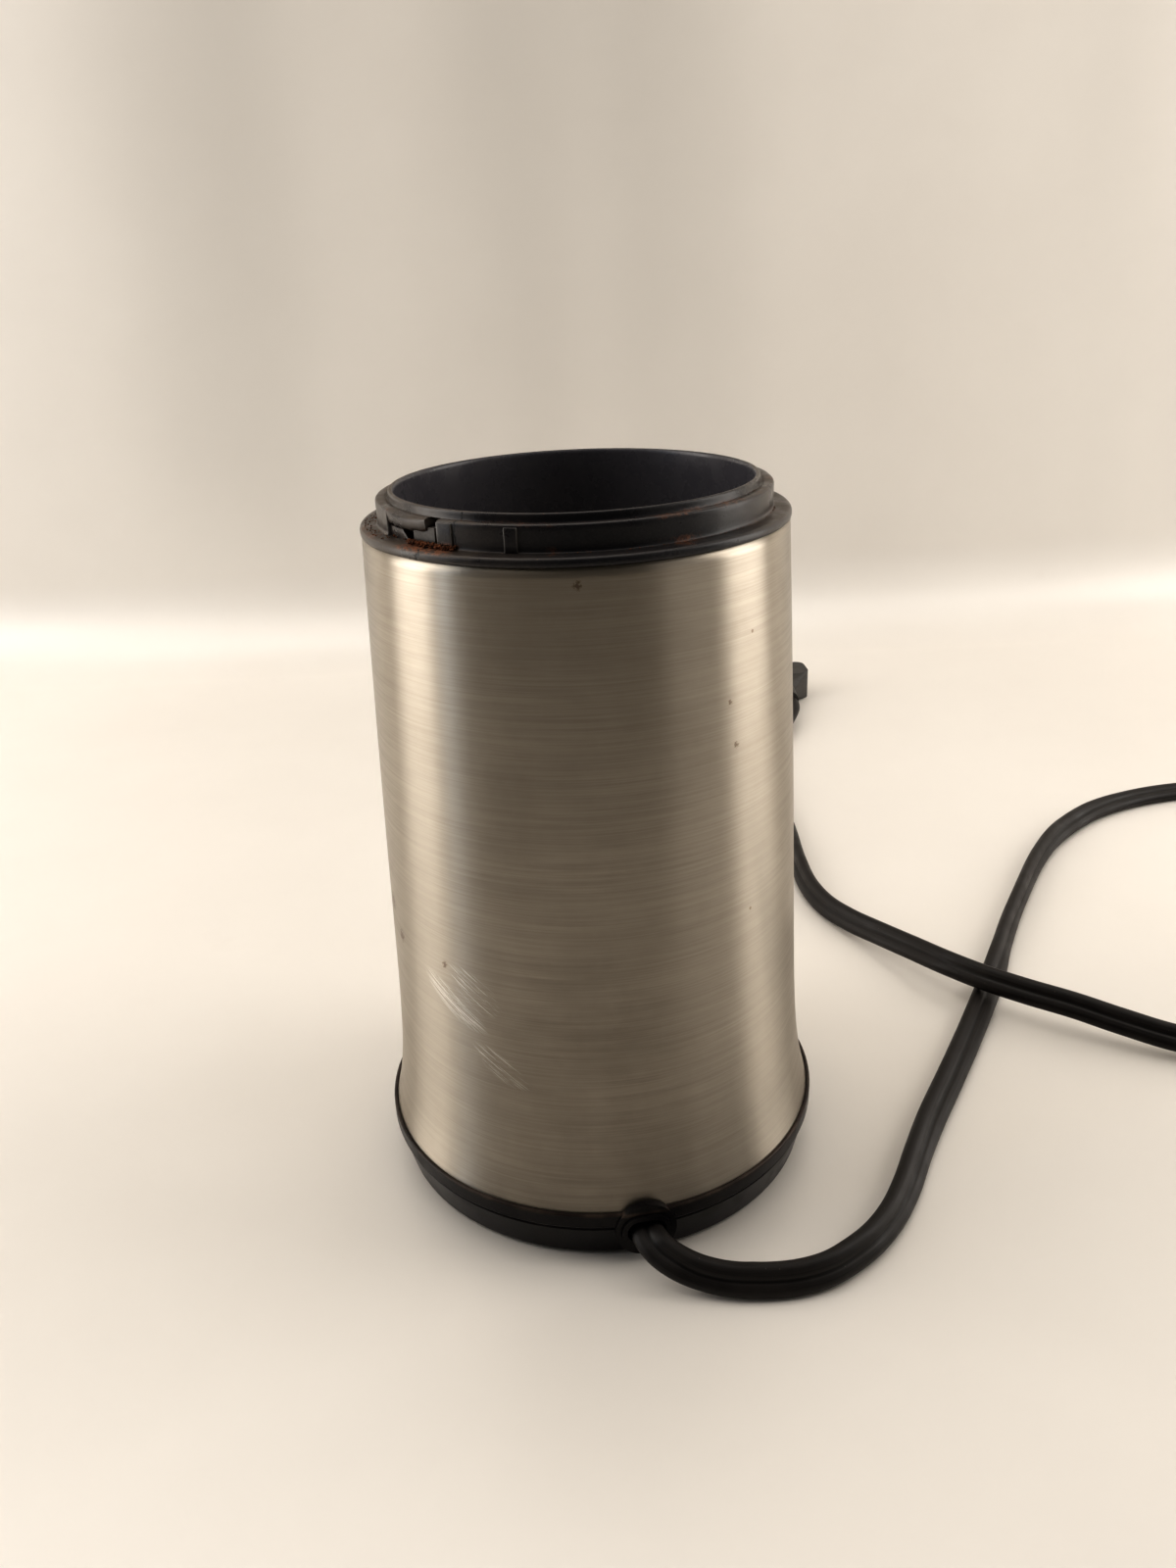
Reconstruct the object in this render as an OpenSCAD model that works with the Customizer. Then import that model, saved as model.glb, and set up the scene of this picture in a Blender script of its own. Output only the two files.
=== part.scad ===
// Blade coffee grinder, motor base without its lid.
// Millimetres. Origin at the bottom centre, on the motor shaft's axis.
// +Z points up and -Y points at the cord outlet. Angles in plan run from +X.

/* [Sleeve] */
// Height of the steel sleeve
sleeve_h = 137.4; // [137.4:0.2:170]
// Outside radius of the sleeve at its top edge
sleeve_top_r = 43.05; // [43.05:0.05:54]
// How much the sleeve widens steadily from top to bottom
sleeve_taper = 4.1; // [3:0.1:6]
// How far the sleeve's side bows out halfway
sleeve_bulge = 0.45; // [0:0.05:1]
// Extra flare at the very bottom
sleeve_flare = 3.2; // [1.5:0.1:4.5]
// Thickness of the sheet steel
sleeve_wall = 0.6; // [0.4:0.1:0.8]

/* [Cup and collar] */
// Inside radius of the cup
cup_r = 36; // [33:0.1:36]
// Depth from the rim to the deck that the bowl stands on
cup_depth = 48.5; // [44:0.5:56]
// Thickness of the plastic cup wall beside the push rod
cup_wall = 2.3; // [2:0.1:2.4]
// Outside radius of the collar that the lid goes over
collar_r = 39.7; // [39.2:0.1:40.2]
// Height of the collar above the flange
collar_h = 4.6; // [4:0.1:6]
// How far the collar's foot is drawn in below its widest band
collar_undercut = 0.8; // [0.3:0.1:1]
// Height of the thin rim above the collar
rim_h = 1.4; // [1:0.1:2]
// Thickness of the thin rim
rim_wall = 1.1; // [0.8:0.1:1.5]
// Thickness of the flange that covers the sleeve's edge
flange_t = 2.1; // [1.6:0.1:3]
// Thickness of the deck under the bowl
deck_t = 3; // [2.4:0.1:4]
// Height of the steel bowl above the deck
bowl_h = 29; // [24:0.5:32]
// Thickness of the bowl's sheet steel
bowl_wall = 0.6; // [0.4:0.1:0.8]

/* [Lid interlock] */
// Angle of the push rod in plan
rod_angle = 216.5; // [215:0.5:218]
// Where the collar's window starts
window_start = 194; // [190:1:205]
// Where the collar's window ends
window_end = 221.5; // [221:0.5:222]
// Width of the rod's tab in the window
tab_w = 6; // [5:0.1:6.4]
// How far the lid pushes the rod down
rod_travel = 3.5; // [2.5:0.1:3.5]
// Radius of the rod's round stem
stem_r = 1.4; // [1.2:0.1:1.5]
// Distance from the lever's pin to the rod
lever_arm = 16; // [16:0.1:17]
// Distance from the lever's pin to the switch button
button_arm = 4; // [3.5:0.1:5]

/* [Blade and shaft] */
// Radius of the motor shaft
shaft_r = 3; // [2.5:0.1:3.6]
// Length of the blade from tip to tip
blade_len = 60; // [50:1:64]
// Width of the blade at its middle
blade_w = 13; // [12:0.5:16]
// Thickness of the blade
blade_t = 2; // [1.5:0.1:2.4]

/* [Motor] */
// Height of the steel stack
stack_h = 24; // [20:0.5:29]
// Size of the stack across the poles
stack_x = 60; // [58:0.5:62]
// Size of the stack along the field's yoke
stack_y = 52; // [50:0.5:54]
// Radius of the hole that the armature turns in
stator_bore_r = 14; // [14:0.1:15]
// Air gap between armature and poles
air_gap = 0.6; // [0.4:0.1:0.8]
// Radius of the commutator
comm_r = 9.5; // [8.5:0.1:10]
// Height of the commutator
comm_h = 14; // [12:0.5:16]
// Side of the square carbon brushes
brush_side = 6; // [5:0.1:6.5]
// Radius of the cooling fan
fan_r = 18; // [15:0.5:18]
// Height of the cooling fan
fan_h = 6.5; // [5:0.5:7]

/* [Base] */
// How far the base stands out past the sleeve's foot
base_lip = 0.75; // [0.7:0.05:2.5]
// Height of the bottom pan's outer wall above the ground
pan_top = 9.4; // [9:0.1:9.6]
// How high the pan stands off the ground on its feet
foot_gap = 0.8; // [0.5:0.1:1.5]
// Thickness of the pan's floor
pan_floor = 2; // [1.6:0.1:3]
// Thickness of the pan's wall
pan_wall = 2; // [1.6:0.1:3]
// Radius of the circle that the screw posts stand on
post_circle = 37; // [36.5:0.1:38]
// Radius of a screw post
post_r = 3.6; // [3.2:0.1:3.8]
// Radius of the screws' shanks
screw_r = 1.5; // [1.2:0.1:1.7]
// Radius of a rubber foot
foot_r = 5; // [4:0.5:6]

/* [Cord] */
// Width of the flat cord
cord_w = 7.2; // [6.4:0.1:7.6]
// Thickness of the flat cord
cord_t = 3.6; // [3:0.1:3.8]
// Length of the moulded plug
plug_len = 36; // [30:1:40]
// Width of the moulded plug at its face
plug_w = 29; // [24:1:30]
// Thickness of the moulded plug
plug_t = 13; // [12:0.5:14]

/* [Hidden] */
$fn = 96;
eps = 0.01;

// Clearances
play = 0.05;          // running play of a shaft or pin, on the radius
slip = 0.3;           // gap around pieces that slide or turn past others
seat_gap = 0.1;       // gap of a screw or tab in its hole, on each side

// Largest radius of the base, and of its foot
base_r = sleeve_top_r + sleeve_taper + sleeve_flare + seat_gap + base_lip;
foot_edge_r = base_r - 2.3;

// Heights, from the ground up to the rim
pan_z = foot_gap;
floor_z = pan_z + pan_floor;
web_t = 2;
web_top = pan_top + web_t;
ring_seat = web_top + 0.6;
ring_top = ring_seat + 1.1;
spigot_top = ring_seat + 4;
sleeve_z0 = ring_seat;
sleeve_z1 = sleeve_z0 + sleeve_h;
flange_z = sleeve_z1 + flange_t;
collar_z = flange_z + collar_h;
rim_z = collar_z + rim_h;
deck_z = rim_z - cup_depth;
deck_z0 = deck_z - deck_t;
bowl_top = deck_z + bowl_h;
bowl_gap = 0.45;

// The motor hangs from the deck, so its heights are counted downwards
boss_h = 5;
mount_h = 6;
bracket_t = 3;
bracket_top = deck_z0 - boss_h - mount_h;
bracket_z = bracket_top - bracket_t;
overhang = 8;
fan_top = bracket_z - 2.5;
fan_z = fan_top - fan_h;
stack_top = fan_z - overhang - 1;
stack_z = stack_top - stack_h;
comm_top = stack_z - overhang - 2;
comm_z = comm_top - comm_h;
brush_z = comm_z + comm_h / 2;
holder_wall = 1;
holder_gap = 0.1;
holder_h = brush_side / 2 + holder_gap + holder_wall;
lower_top = brush_z - holder_h - 4;
lower_z = lower_top - bracket_t;
bearing_h = 6;
bearing_r = 6;
bearing_boss_r = 9;
retainer_t = 0.6;
lower_boss_z = lower_z - bearing_h - 1;
shaft_z0 = lower_boss_z - 1;

// The blade stands above the seal
seal_bore_r = shaft_r + 0.15;
seal_top = deck_z + bowl_wall + 2;
spacer_z = seal_top + slip + 0.3;
spacer_h = 4.5;
blade_z = spacer_z + spacer_h;
nut_z = blade_z + blade_t;
nut_h = 7;
shaft_top = nut_z + nut_h - 3;

// Interlock, in a frame turned to the rod's angle: x is radial
tab_x0 = cup_r + 1.6;
tab_t = 1.6;
tab_foot = 3;
tab_z1 = collar_z - 1.7;
body_x0 = cup_r + cup_wall + slip;
body_t = 2.5;
body_w = 5;
body_z1 = sleeve_z1 - slip;
stem_x = body_x0 + 2;
spring_wire_r = 0.35;
spring_r = 2.35;
shelf_z = deck_z - 1;
shelf_t = 2;
shelf_top = shelf_z + shelf_t;
guide_z0 = deck_z + 22;
guide_z1 = deck_z + 33;
guide_t = 1.5;
spring_len = 14;
shoulder_z = shelf_top + spring_len;
shoulder_t = 2;
slim_wall = 1.5;
lid_lip_t = 1.1;

// Switch under the rod
switch_r = 6.4;
switch_l = 20;
switch_h = 10.2;
stem_z0 = deck_z - 15.7;
switch_shift = 8;
switch_turn = asin(switch_shift / stem_x);
switch_hole_y = 4.75;
switch_hole_r = 1.15;
terminal_h = 4;
terminal_pitch = 7;
switch_angle = rod_angle - switch_turn;
switch_x = stem_x * cos(switch_turn);
pin_y = switch_shift - lever_arm;
lever_t = 0.4;
lever_tilt = rod_travel / lever_arm * 180 / PI;
pin_r = 0.6;
barrel_r = 1;
pin_z = stem_z0 - slip - 0.1 - lever_arm * tan(lever_tilt) - lever_t / 2;
switch_top = pin_z - barrel_r - 0.2;
switch_z = switch_top - switch_h;
switch_hole_z = switch_z + 2.8;
button_drop = button_arm * rod_travel / lever_arm;
button_r = 1;
button_top = pin_z - lever_t / 2 - slip + button_drop;

// Motor mounts and screws
mount_xy = 18.5;
mount_r = 5;
through_y = stack_y / 2 - 3;
through_r = 1.5;
leg_r = 4;
post_angles = [0, 120, 240];
foot_angles = [60, 180, 300];
vent_rows = 4;
vent_pitch = 6;
vent_y = 13;
vent_half = 7;
vent_r = 1.4;
head_r = 3;
head_h = 2.2;
pan_boss_r = 4.6;

// Cord outlet
outlet_z = pan_top - 0.8;
outlet_boss_r = 6.6;
outlet_y = base_r + 0.3;
bush_gap = 0.6;
bush_w = cord_w + 2 * bush_gap;
bush_h = cord_t + 3 * bush_gap;
bush_wall = 1.2;
cord_z = outlet_z - bush_h / 2 + cord_t / 2 + 0.3;
saddle_y = -38;
saddle_len = 6;
outlet_run = 2.2;
outlet_cut = [-outlet_y - 8, saddle_y - outlet_run];
lead_y = saddle_y + 5;
straight_y = saddle_y - 4;
saddle_w = 18;
clamp_t = 1.8;
clamp_screw_x = 6.4;
clamp_screw_r = 1.2;
wire_r = 1.1;

// Route of the cord's middle. The free route was chosen by hand for a base whose outlet is at
// route_outlet_y, and it moves out with the outlet of a larger base.
route_outlet_y = 51.5;
FREE_ROUTE = [
    [1, -54.4, 7.3], [3.9, -58, 5.8], [8.6, -61.2, 4], [14.5, -63.6, 2.6], [21, -65.2, 2],
    [28.5, -66, 1.9], [35.5, -65.2, 1.9], [42, -62.6, 1.9], [48.5, -58.8, 1.9], [55, -53.2, 1.9],
    [61.5, -45.6, 1.9], [68.5, -36, 1.9], [77, -25, 1.9], [87.5, -12.5, 1.9], [98, 0.2, 1.9],
    [109, 13.9, 1.9], [121.5, 30, 1.9], [137.5, 52, 1.9], [152.5, 71, 1.9], [167.5, 89, 1.9],
    [182, 103.5, 1.9], [196, 113.8, 1.9], [210.5, 121.5, 1.9], [228, 126.5, 1.9], [248, 128, 1.9],
    [266, 126, 1.9], [282, 119, 1.9], [294, 106.5, 1.9], [300, 90, 1.9], [299, 71, 1.9], [292, 50, 1.9],
    [280, 28, 1.9], [264, 8, 1.9], [245, -10, 1.9], [225, -22, 1.9], [204, -28, 1.9], [184, -27, 1.9],
    [166, -21, 2.4], [150.4, -12.8, 3.6], [139.5, -5, 5.2], [130, 3, 6.6], [120.8, 11.2, 7.1],
    [112.6, 20.6, 7.1], [106.2, 31.5, 6.4], [101.5, 43, 5], [96.8, 54.5, 3.5], [91.6, 66, 2.4],
    [88, 77.5, 1.9], [87, 91, 1.9], [89, 107, 1.9], [92.2, 124, 1.9], [95.2, 142, 1.9],
    [98.5, 160, 1.9], [102.5, 178, 1.9], [107.5, 195.5, 1.9], [113.5, 211, 2.1], [120.5, 224, 3.2],
    [127.7, 234.5, 4.7], [133, 243, 6], [135.2, 249, 6.5], [135.7, 254, 6.5]
];
CORD_ROUTE = concat(
    [[0, lead_y, cord_z], [0, straight_y, cord_z], [0, -outlet_y + 1.5, cord_z]],
    [for (p = FREE_ROUTE) p - [0, outlet_y - route_outlet_y, 0]]);
PLUG_AT = CORD_ROUTE[len(CORD_ROUTE) - 1];
plug_way = PLUG_AT - CORD_ROUTE[len(CORD_ROUTE) - 2];
PLUG_TURN = -atan2(plug_way[0], plug_way[1]);

function sleeve_r(z) =
    let (t = (sleeve_z1 - z) / sleeve_h)
    sleeve_top_r + sleeve_taper * t + sleeve_bulge * 4 * t * (1 - t) + sleeve_flare * pow(t, 12);

function unit(v) = v / norm(v);

// Points of a rounded corner, from one angle to another about its centre
function arc(cx, cy, r, a0, a1, steps = 5) =
    [for (i = [0 : steps]) let (a = a0 + (a1 - a0) * i / steps) [cx + r * cos(a), cy + r * sin(a)]];

// Directions of a path at its points
function ways(points) =
    let (n = len(points))
    [for (i = [0 : n - 1]) unit(points[min(i + 1, n - 1)] - points[max(i - 1, 0)])];

// Level sideways directions, for a flat cord and a coil
function level_sides(along) = [for (a = along) unit(cross(a, [0, 0, 1]))];

// Sideways directions that turn as little as they can from point to point, for a wire that climbs
function steady_sides(along) = [for (
    i = 0, side = unit(cross(along[0], abs(along[0][2]) > 0.9 ? [1, 0, 0] : [0, 0, 1]));
    i < len(along);
    i = i + 1, side = i < len(along) ? unit(side - (side * along[i]) * along[i]) : side) side];

// A tube through the given middle points, with an oval section of half sizes hw and hh
module swept(points, hw, hh, level = true, corners = 8) {
    n = len(points);
    along = ways(points);
    side = level ? level_sides(along) : steady_sides(along);
    verts = [for (i = [0 : n - 1]) let (top = cross(side[i], along[i])) for (k = [0 : corners - 1])
        let (a = 360 * k / corners)
        points[i] + side[i] * hw * cos(a) + top * hh * sin(a)];
    walls = [for (i = [0 : n - 2]) for (k = [0 : corners - 1])
        let (a = i * corners + k, b = i * corners + (k + 1) % corners)
        each [[a, b, b + corners], [a, b + corners, a + corners]]];
    first = [for (k = [1 : corners - 2]) [0, k + 1, k]];
    last = let (m = (n - 1) * corners) [for (k = [1 : corners - 2]) [m, m + k, m + k + 1]];
    polyhedron(verts, concat(walls, first, last), convexity = 10);
}

// A round coil spring that stands on z = 0
module coil_spring(r, wire, length, turns) {
    steps = ceil(turns * 12);
    rise = length - 2 * wire;
    swept([for (i = [0 : steps]) let (t = i / steps)
        [r * cos(360 * turns * t), r * sin(360 * turns * t), wire + rise * t]], wire, wire, corners = 6);
}

module at_rod() { rotate([0, 0, rod_angle]) children(); }
module at_switch() { rotate([0, 0, switch_angle]) children(); }
module at_posts() { for (a = post_angles) rotate([0, 0, a]) translate([post_circle, 0, 0]) children(); }
module at_feet() { for (a = foot_angles) rotate([0, 0, a]) translate([post_circle, 0, 0]) children(); }
module at_mounts() {
    for (x = [-1, 1]) for (y = [-1, 1]) translate([x * mount_xy, y * mount_xy, 0]) children();
}
module at_through() { for (y = [-1, 1]) translate([0, y * through_y, 0]) children(); }

// A washer-like ring between two heights
module ring(r_out, r_in, z0, z1) {
    translate([0, 0, z0]) difference() {
        cylinder(r = r_out, h = z1 - z0);
        translate([0, 0, -1]) cylinder(r = r_in, h = z1 - z0 + 2);
    }
}

// A block given by its lowest and highest corners
module block(low, high) { translate(low) cube(high - low); }

// A wedge that covers the angles from a0 to a1, between two radii and two heights
module sector(r_in, r_out, a0, a1, z0, z1) {
    far = r_out * 1.2;
    steps = 4;
    rim = [for (i = [0 : steps]) let (a = a0 + (a1 - a0) * i / steps) [far * cos(a), far * sin(a)]];
    intersection() {
        ring(r_out, r_in, z0, z1);
        translate([0, 0, z0 - 1]) linear_extrude(z1 - z0 + 2) polygon(concat([[0, 0]], rim));
    }
}

// A flat slot shape that stands in the XZ plane and runs along Y
module oval_bar(w, h, y0, y1, z) {
    side = (w - h) / 2;
    translate([0, y1, z]) rotate([90, 0, 0]) linear_extrude(y1 - y0) union() {
        square([2 * side, h], center = true);
        for (x = [-side, side]) translate([x, 0]) circle(d = h);
    }
}

// ---- Casing ----

module steel_sleeve() {
    steps = 24;
    zs = [for (i = [0 : steps]) sleeve_z0 + sleeve_h * pow(i / steps, 1.5)];
    outer = [for (z = zs) [sleeve_r(z), z]];
    inner = [for (i = [steps : -1 : 0]) [sleeve_r(zs[i]) - sleeve_wall, zs[i]]];
    color("silver") difference() {
        rotate_extrude() polygon(concat(outer, inner));
        // notch that lets the cord outlet through
        block([-bush_w / 2 - 2, -base_r, sleeve_z0 - 1], [bush_w / 2 + 2, -base_r + 8, ring_top + 0.2]);
    }
}

module collar_profile() {
    foot_r = collar_r - collar_undercut;
    band_z = flange_z + 0.5 * collar_h;
    round_r = 0.5;
    edge_r = sleeve_top_r + 0.25;
    skirt_r = sleeve_top_r - sleeve_wall - 0.25;
    skirt_z = sleeve_z1 - 6.4;
    wall_r = cup_r + cup_wall;
    slim_z = deck_z + 18;
    rim_r = cup_r + rim_wall;
    polygon(concat(
        [[cup_r, bowl_top], [cup_r + bowl_gap, bowl_top], [cup_r + bowl_gap, deck_z0]],
        [[cup_r + slim_wall, deck_z0], [cup_r + slim_wall, slim_z]],
        [[wall_r, slim_z + 1], [wall_r, sleeve_z1 - 2], [skirt_r - 2, sleeve_z1 - 2]],
        [[skirt_r - 2, skirt_z], [skirt_r, skirt_z], [skirt_r, sleeve_z1], [edge_r, sleeve_z1]],
        arc(edge_r - 0.8, flange_z - 0.8, 0.8, 0, 90, 3),
        [[foot_r + 1.7, flange_z], [foot_r + 1.7, flange_z + 0.5], [foot_r, flange_z + 0.5]],
        [[collar_r, band_z]],
        arc(collar_r - round_r, collar_z - round_r, round_r, 0, 90, 3),
        [[rim_r + 0.6, collar_z], [rim_r + 0.4, collar_z - 0.3], [rim_r, collar_z - 0.3]],
        arc(rim_r - 0.4, rim_z - 0.4, 0.4, 0, 90, 3),
        arc(cup_r + 0.4, rim_z - 0.4, 0.4, 90, 180, 3)));
}

module screw_posts() {
    at_posts() difference() {
        translate([0, 0, web_top]) cylinder(r = post_r, h = deck_z - web_top);
        translate([0, 0, web_top - 1]) cylinder(r = screw_r + play, h = 20);
    }
}

module rod_guides() {
    wall_r = cup_r + cup_wall;
    shelf_x1 = stem_x + spring_r + 0.6;
    at_rod() {
        for (s = [-1, 1]) translate([0, s * (body_w / 2 + slip + guide_t / 2), 0])
            block([wall_r - 0.5, -guide_t / 2, guide_z0], [body_x0 + body_t, guide_t / 2, guide_z1]);
        difference() {
            block([cup_r + 0.5, -3.5, shelf_z], [shelf_x1, 3.5, shelf_top]);
            translate([stem_x, 0, shelf_z - 1]) cylinder(r = stem_r + seat_gap, h = shelf_t + 2);
        }
    }
}

module switch_wall() {
    x1 = switch_x - switch_r / 2 - 0.05;
    at_switch() difference() {
        block([x1 - 2.2, -12, switch_z - 1], [x1, 12, deck_z0 + eps]);
        for (y = [-switch_hole_y, switch_hole_y]) translate([x1 - 3, y, switch_hole_z]) rotate([0, 90, 0])
            cylinder(r = switch_hole_r, h = 4);
    }
}

module lid_stops() {
    foot_r = collar_r - collar_undercut;
    for (a = [63.2, 243.2])
        sector(foot_r - 0.5, collar_r + 0.2, a - 1.9, a + 1.9, flange_z, collar_z - 0.6);
    for (a = [window_end + 2.6, window_end - 180])
        sector(foot_r - 0.5, collar_r + 0.1, a - 2.6, a + 2.6, flange_z, collar_z - 0.6);
}

module top_housing() {
    tab_side = tab_w / 2 + slip;
    foot_low = body_z1 - tab_foot - rod_travel - slip;
    color([0.16, 0.16, 0.17]) difference() {
        union() {
            rotate_extrude() collar_profile();
            difference() {
                ring(cup_r + bowl_gap + eps, shaft_r + 5, deck_z0, deck_z);
                at_mounts() translate([0, 0, deck_z0 - 1]) cylinder(r = screw_r + play, h = deck_t);
            }
            at_mounts() ring(mount_r, screw_r + play, deck_z0 - boss_h, deck_z0 + eps);
            screw_posts();
            rod_guides();
            switch_wall();
            lid_stops();
        }
        // window in the collar, the slot that the rod's tab rises through and the gap for the lid's tab
        sector(tab_x0 - slip, collar_r + 2, window_start, window_end, flange_z + 0.5, collar_z - lid_lip_t);
        at_rod() {
            block([tab_x0 - slip, -tab_side, foot_low], [tab_x0 + tab_t + slip, tab_side, collar_z - lid_lip_t]);
            block([tab_x0 - slip, -tab_side, foot_low], [sleeve_top_r, tab_side, sleeve_z1]);
            block([tab_x0 - slip, 0, collar_z - lid_lip_t - 1], [collar_r + 2, tab_w / 2, collar_z + 1]);
        }
    }
}

// Opening that holds the cord's bushing
module outlet_hole() {
    oval_bar(bush_w + 2 * bush_wall + 2 * seat_gap, bush_h + 2 * bush_wall + 2 * seat_gap, outlet_cut[0],
        outlet_cut[1], outlet_z);
}

module base_ring() {
    lip_r = sleeve_r(sleeve_z0) + seat_gap;
    inner_r = lip_r - 3.6;
    spigot_r = sleeve_r(spigot_top) - sleeve_wall - 0.25;
    color([0.14, 0.14, 0.15]) difference() {
        union() {
            rotate_extrude() polygon(concat(
                [[post_circle - 4.4, pan_top], [base_r - 0.4, pan_top], [base_r, pan_top + 0.6]],
                [[base_r, ring_top - 0.5]],
                arc(base_r - 0.4, ring_top - 0.4, 0.4, 0, 90, 3),
                [[lip_r, ring_top], [lip_r, ring_seat], [spigot_r, ring_seat], [spigot_r, spigot_top]],
                [[inner_r, spigot_top], [inner_r, web_top], [post_circle - 4.4, web_top]]));
            // arched outlet that rises over the sleeve
            intersection() {
                translate([0, -sleeve_r(ring_top) - seat_gap, outlet_z]) rotate([90, 0, 0])
                    cylinder(r = outlet_boss_r, h = outlet_y - sleeve_r(ring_top) - seat_gap);
                block([-20, outlet_cut[0], pan_top], [20, outlet_cut[1], 40]);
            }
        }
        outlet_hole();
        block([-saddle_w / 2 - 1, saddle_y - saddle_len, pan_top - 1], [saddle_w / 2 + 1, -20, 40]);
        at_posts() translate([0, 0, pan_top - 1]) cylinder(r = screw_r + play, h = web_t + 2);
    }
}

// One air vent: a slot with round ends
module vent_slot() {
    square([2 * vent_r, 2 * vent_half], center = true);
    for (e = [-1, 1]) translate([0, e * vent_half]) circle(r = vent_r);
}

module bottom_pan() {
    wall_r = base_r - 0.6;
    color([0.14, 0.14, 0.15]) difference() {
        union() {
            rotate_extrude() polygon(concat(
                [[0, pan_z]],
                arc(foot_edge_r - 0.8, pan_z + 0.8, 0.8, -90, -10, 3),
                [[wall_r, pan_top - 0.8], [wall_r - 0.4, pan_top], [wall_r - pan_wall, pan_top]],
                [[foot_edge_r - pan_wall, floor_z], [0, floor_z]]));
            at_posts() translate([0, 0, pan_z]) cylinder(r = pan_boss_r, h = pan_top - pan_z);
            intersection() {
                translate([0, -base_r + 4, outlet_z]) rotate([90, 0, 0])
                    cylinder(r = outlet_boss_r, h = outlet_y - base_r + 4);
                block([-20, outlet_cut[0], pan_z], [20, outlet_cut[1], pan_top]);
            }
            block([-saddle_w / 2, saddle_y - saddle_len / 2, floor_z - eps],
                [saddle_w / 2, saddle_y + saddle_len / 2, cord_z - cord_t / 2]);
        }
        outlet_hole();
        at_posts() {
            translate([0, 0, pan_z - 1]) cylinder(r = head_r + 0.4, h = head_h + 2);
            translate([0, 0, pan_z]) cylinder(r = screw_r + seat_gap, h = 20);
        }
        at_feet() translate([0, 0, pan_z - 1]) cylinder(r = foot_r + seat_gap, h = 1.8);
        for (x = [-clamp_screw_x, clamp_screw_x]) translate([x, saddle_y, floor_z])
            cylinder(r = clamp_screw_r + play, h = 10);
        // air vents
        for (i = [-vent_rows : vent_rows]) for (s = [-1, 1]) translate([i * vent_pitch, s * vent_y, pan_z - 1])
            linear_extrude(pan_floor + 2) vent_slot();
    }
}

module rubber_feet() {
    color([0.1, 0.1, 0.1]) at_feet() cylinder(r = foot_r, h = foot_gap + 0.8);
}

module base_screws() {
    top = web_top + 16;
    seat = pan_z + 1 + head_h;
    color("gray") at_posts() {
        translate([0, 0, seat - head_h]) cylinder(r = head_r, h = head_h);
        translate([0, 0, seat - 1]) cylinder(r = screw_r, h = top - seat + 1);
    }
}

// ---- Cup ----

module grinding_bowl() {
    r1 = cup_r - 0.4;
    bend = 6;
    w = bowl_wall;
    color("gainsboro") rotate_extrude() polygon(concat(
        [[shaft_r + 2.3, deck_z]],
        arc(r1 - bend, deck_z + bend, bend, -90, 0, 6),
        [[r1, bowl_top - 1], [cup_r - 0.05, bowl_top - 0.6], [cup_r - 0.05, bowl_top], [r1 - w + 0.2, bowl_top]],
        [[r1 - w, bowl_top - 0.6]],
        arc(r1 - bend, deck_z + bend, bend - w, 0, -90, 6),
        [[shaft_r + 2.3, deck_z + w]]));
}

module shaft_seal() {
    neck_r = shaft_r + 2.2;
    color([0.12, 0.12, 0.12]) rotate_extrude() polygon([
        [seal_bore_r, deck_z0 - 1], [shaft_r + 4.9, deck_z0 - 1], [shaft_r + 4.9, deck_z],
        [neck_r, deck_z], [neck_r, deck_z + bowl_wall], [shaft_r + 4.5, deck_z + bowl_wall],
        [shaft_r + 3, seal_top], [seal_bore_r, seal_top]]);
}

module blade_spacer() { color("goldenrod") ring(shaft_r + 2, shaft_r, spacer_z, blade_z); }

// Flat near the hub, with one wing turned up and the other turned down
module blade() {
    bend_angle = 16;
    bend_x = blade_len / 2 - 11;
    tip = [bend_x + 11 * cos(bend_angle), 11 * sin(bend_angle)];
    top = blade_t * [-sin(bend_angle), cos(bend_angle)];
    bend_top = blade_t * tan(bend_angle / 2);
    shoulder_x = blade_len / 3;
    far = blade_len / 2 + 2;
    tip_w = blade_w * 0.5;
    color("silver") translate([0, 0, blade_z]) difference() {
        intersection() {
            translate([0, blade_w, 0]) rotate([90, 0, 0]) linear_extrude(2 * blade_w) polygon([
                -tip, [-bend_x, 0], [bend_x, 0], tip,
                tip + top, [bend_x - bend_top, blade_t], [-bend_x - bend_top, blade_t], top - tip]);
            translate([0, 0, -10]) linear_extrude(20) polygon([
                [-far, -tip_w / 2], [-shoulder_x, -blade_w / 2], [shoulder_x, -blade_w / 2],
                [far, -tip_w / 2], [far, tip_w / 2], [shoulder_x, blade_w / 2],
                [-shoulder_x, blade_w / 2], [-far, tip_w / 2]]);
        }
        translate([0, 0, -1]) cylinder(r = shaft_r, h = blade_t + 2);
    }
}

module blade_nut() {
    color("silver") difference() {
        translate([0, 0, nut_z]) union() {
            cylinder(r = 6, h = 2);
            cylinder(r = 4.8, h = nut_h - 1);
            translate([0, 0, nut_h - 1]) cylinder(r1 = 4.8, r2 = 3.4, h = 1);
        }
        translate([0, 0, nut_z - 1]) cylinder(r = shaft_r, h = shaft_top - nut_z + 1);
    }
}

// ---- Rotor ----

module rotor_shaft() {
    color("gray") translate([0, 0, shaft_z0]) cylinder(r = shaft_r, h = shaft_top - shaft_z0);
}

module slots(r, count, w, depth) {
    for (i = [0 : count - 1]) rotate([0, 0, 360 * i / count]) translate([r - depth, -w / 2]) children();
}

armature_r = stator_bore_r - air_gap;
slot_count = 12;
slot_w = 2.4;
slot_depth = 6.4;

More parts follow.
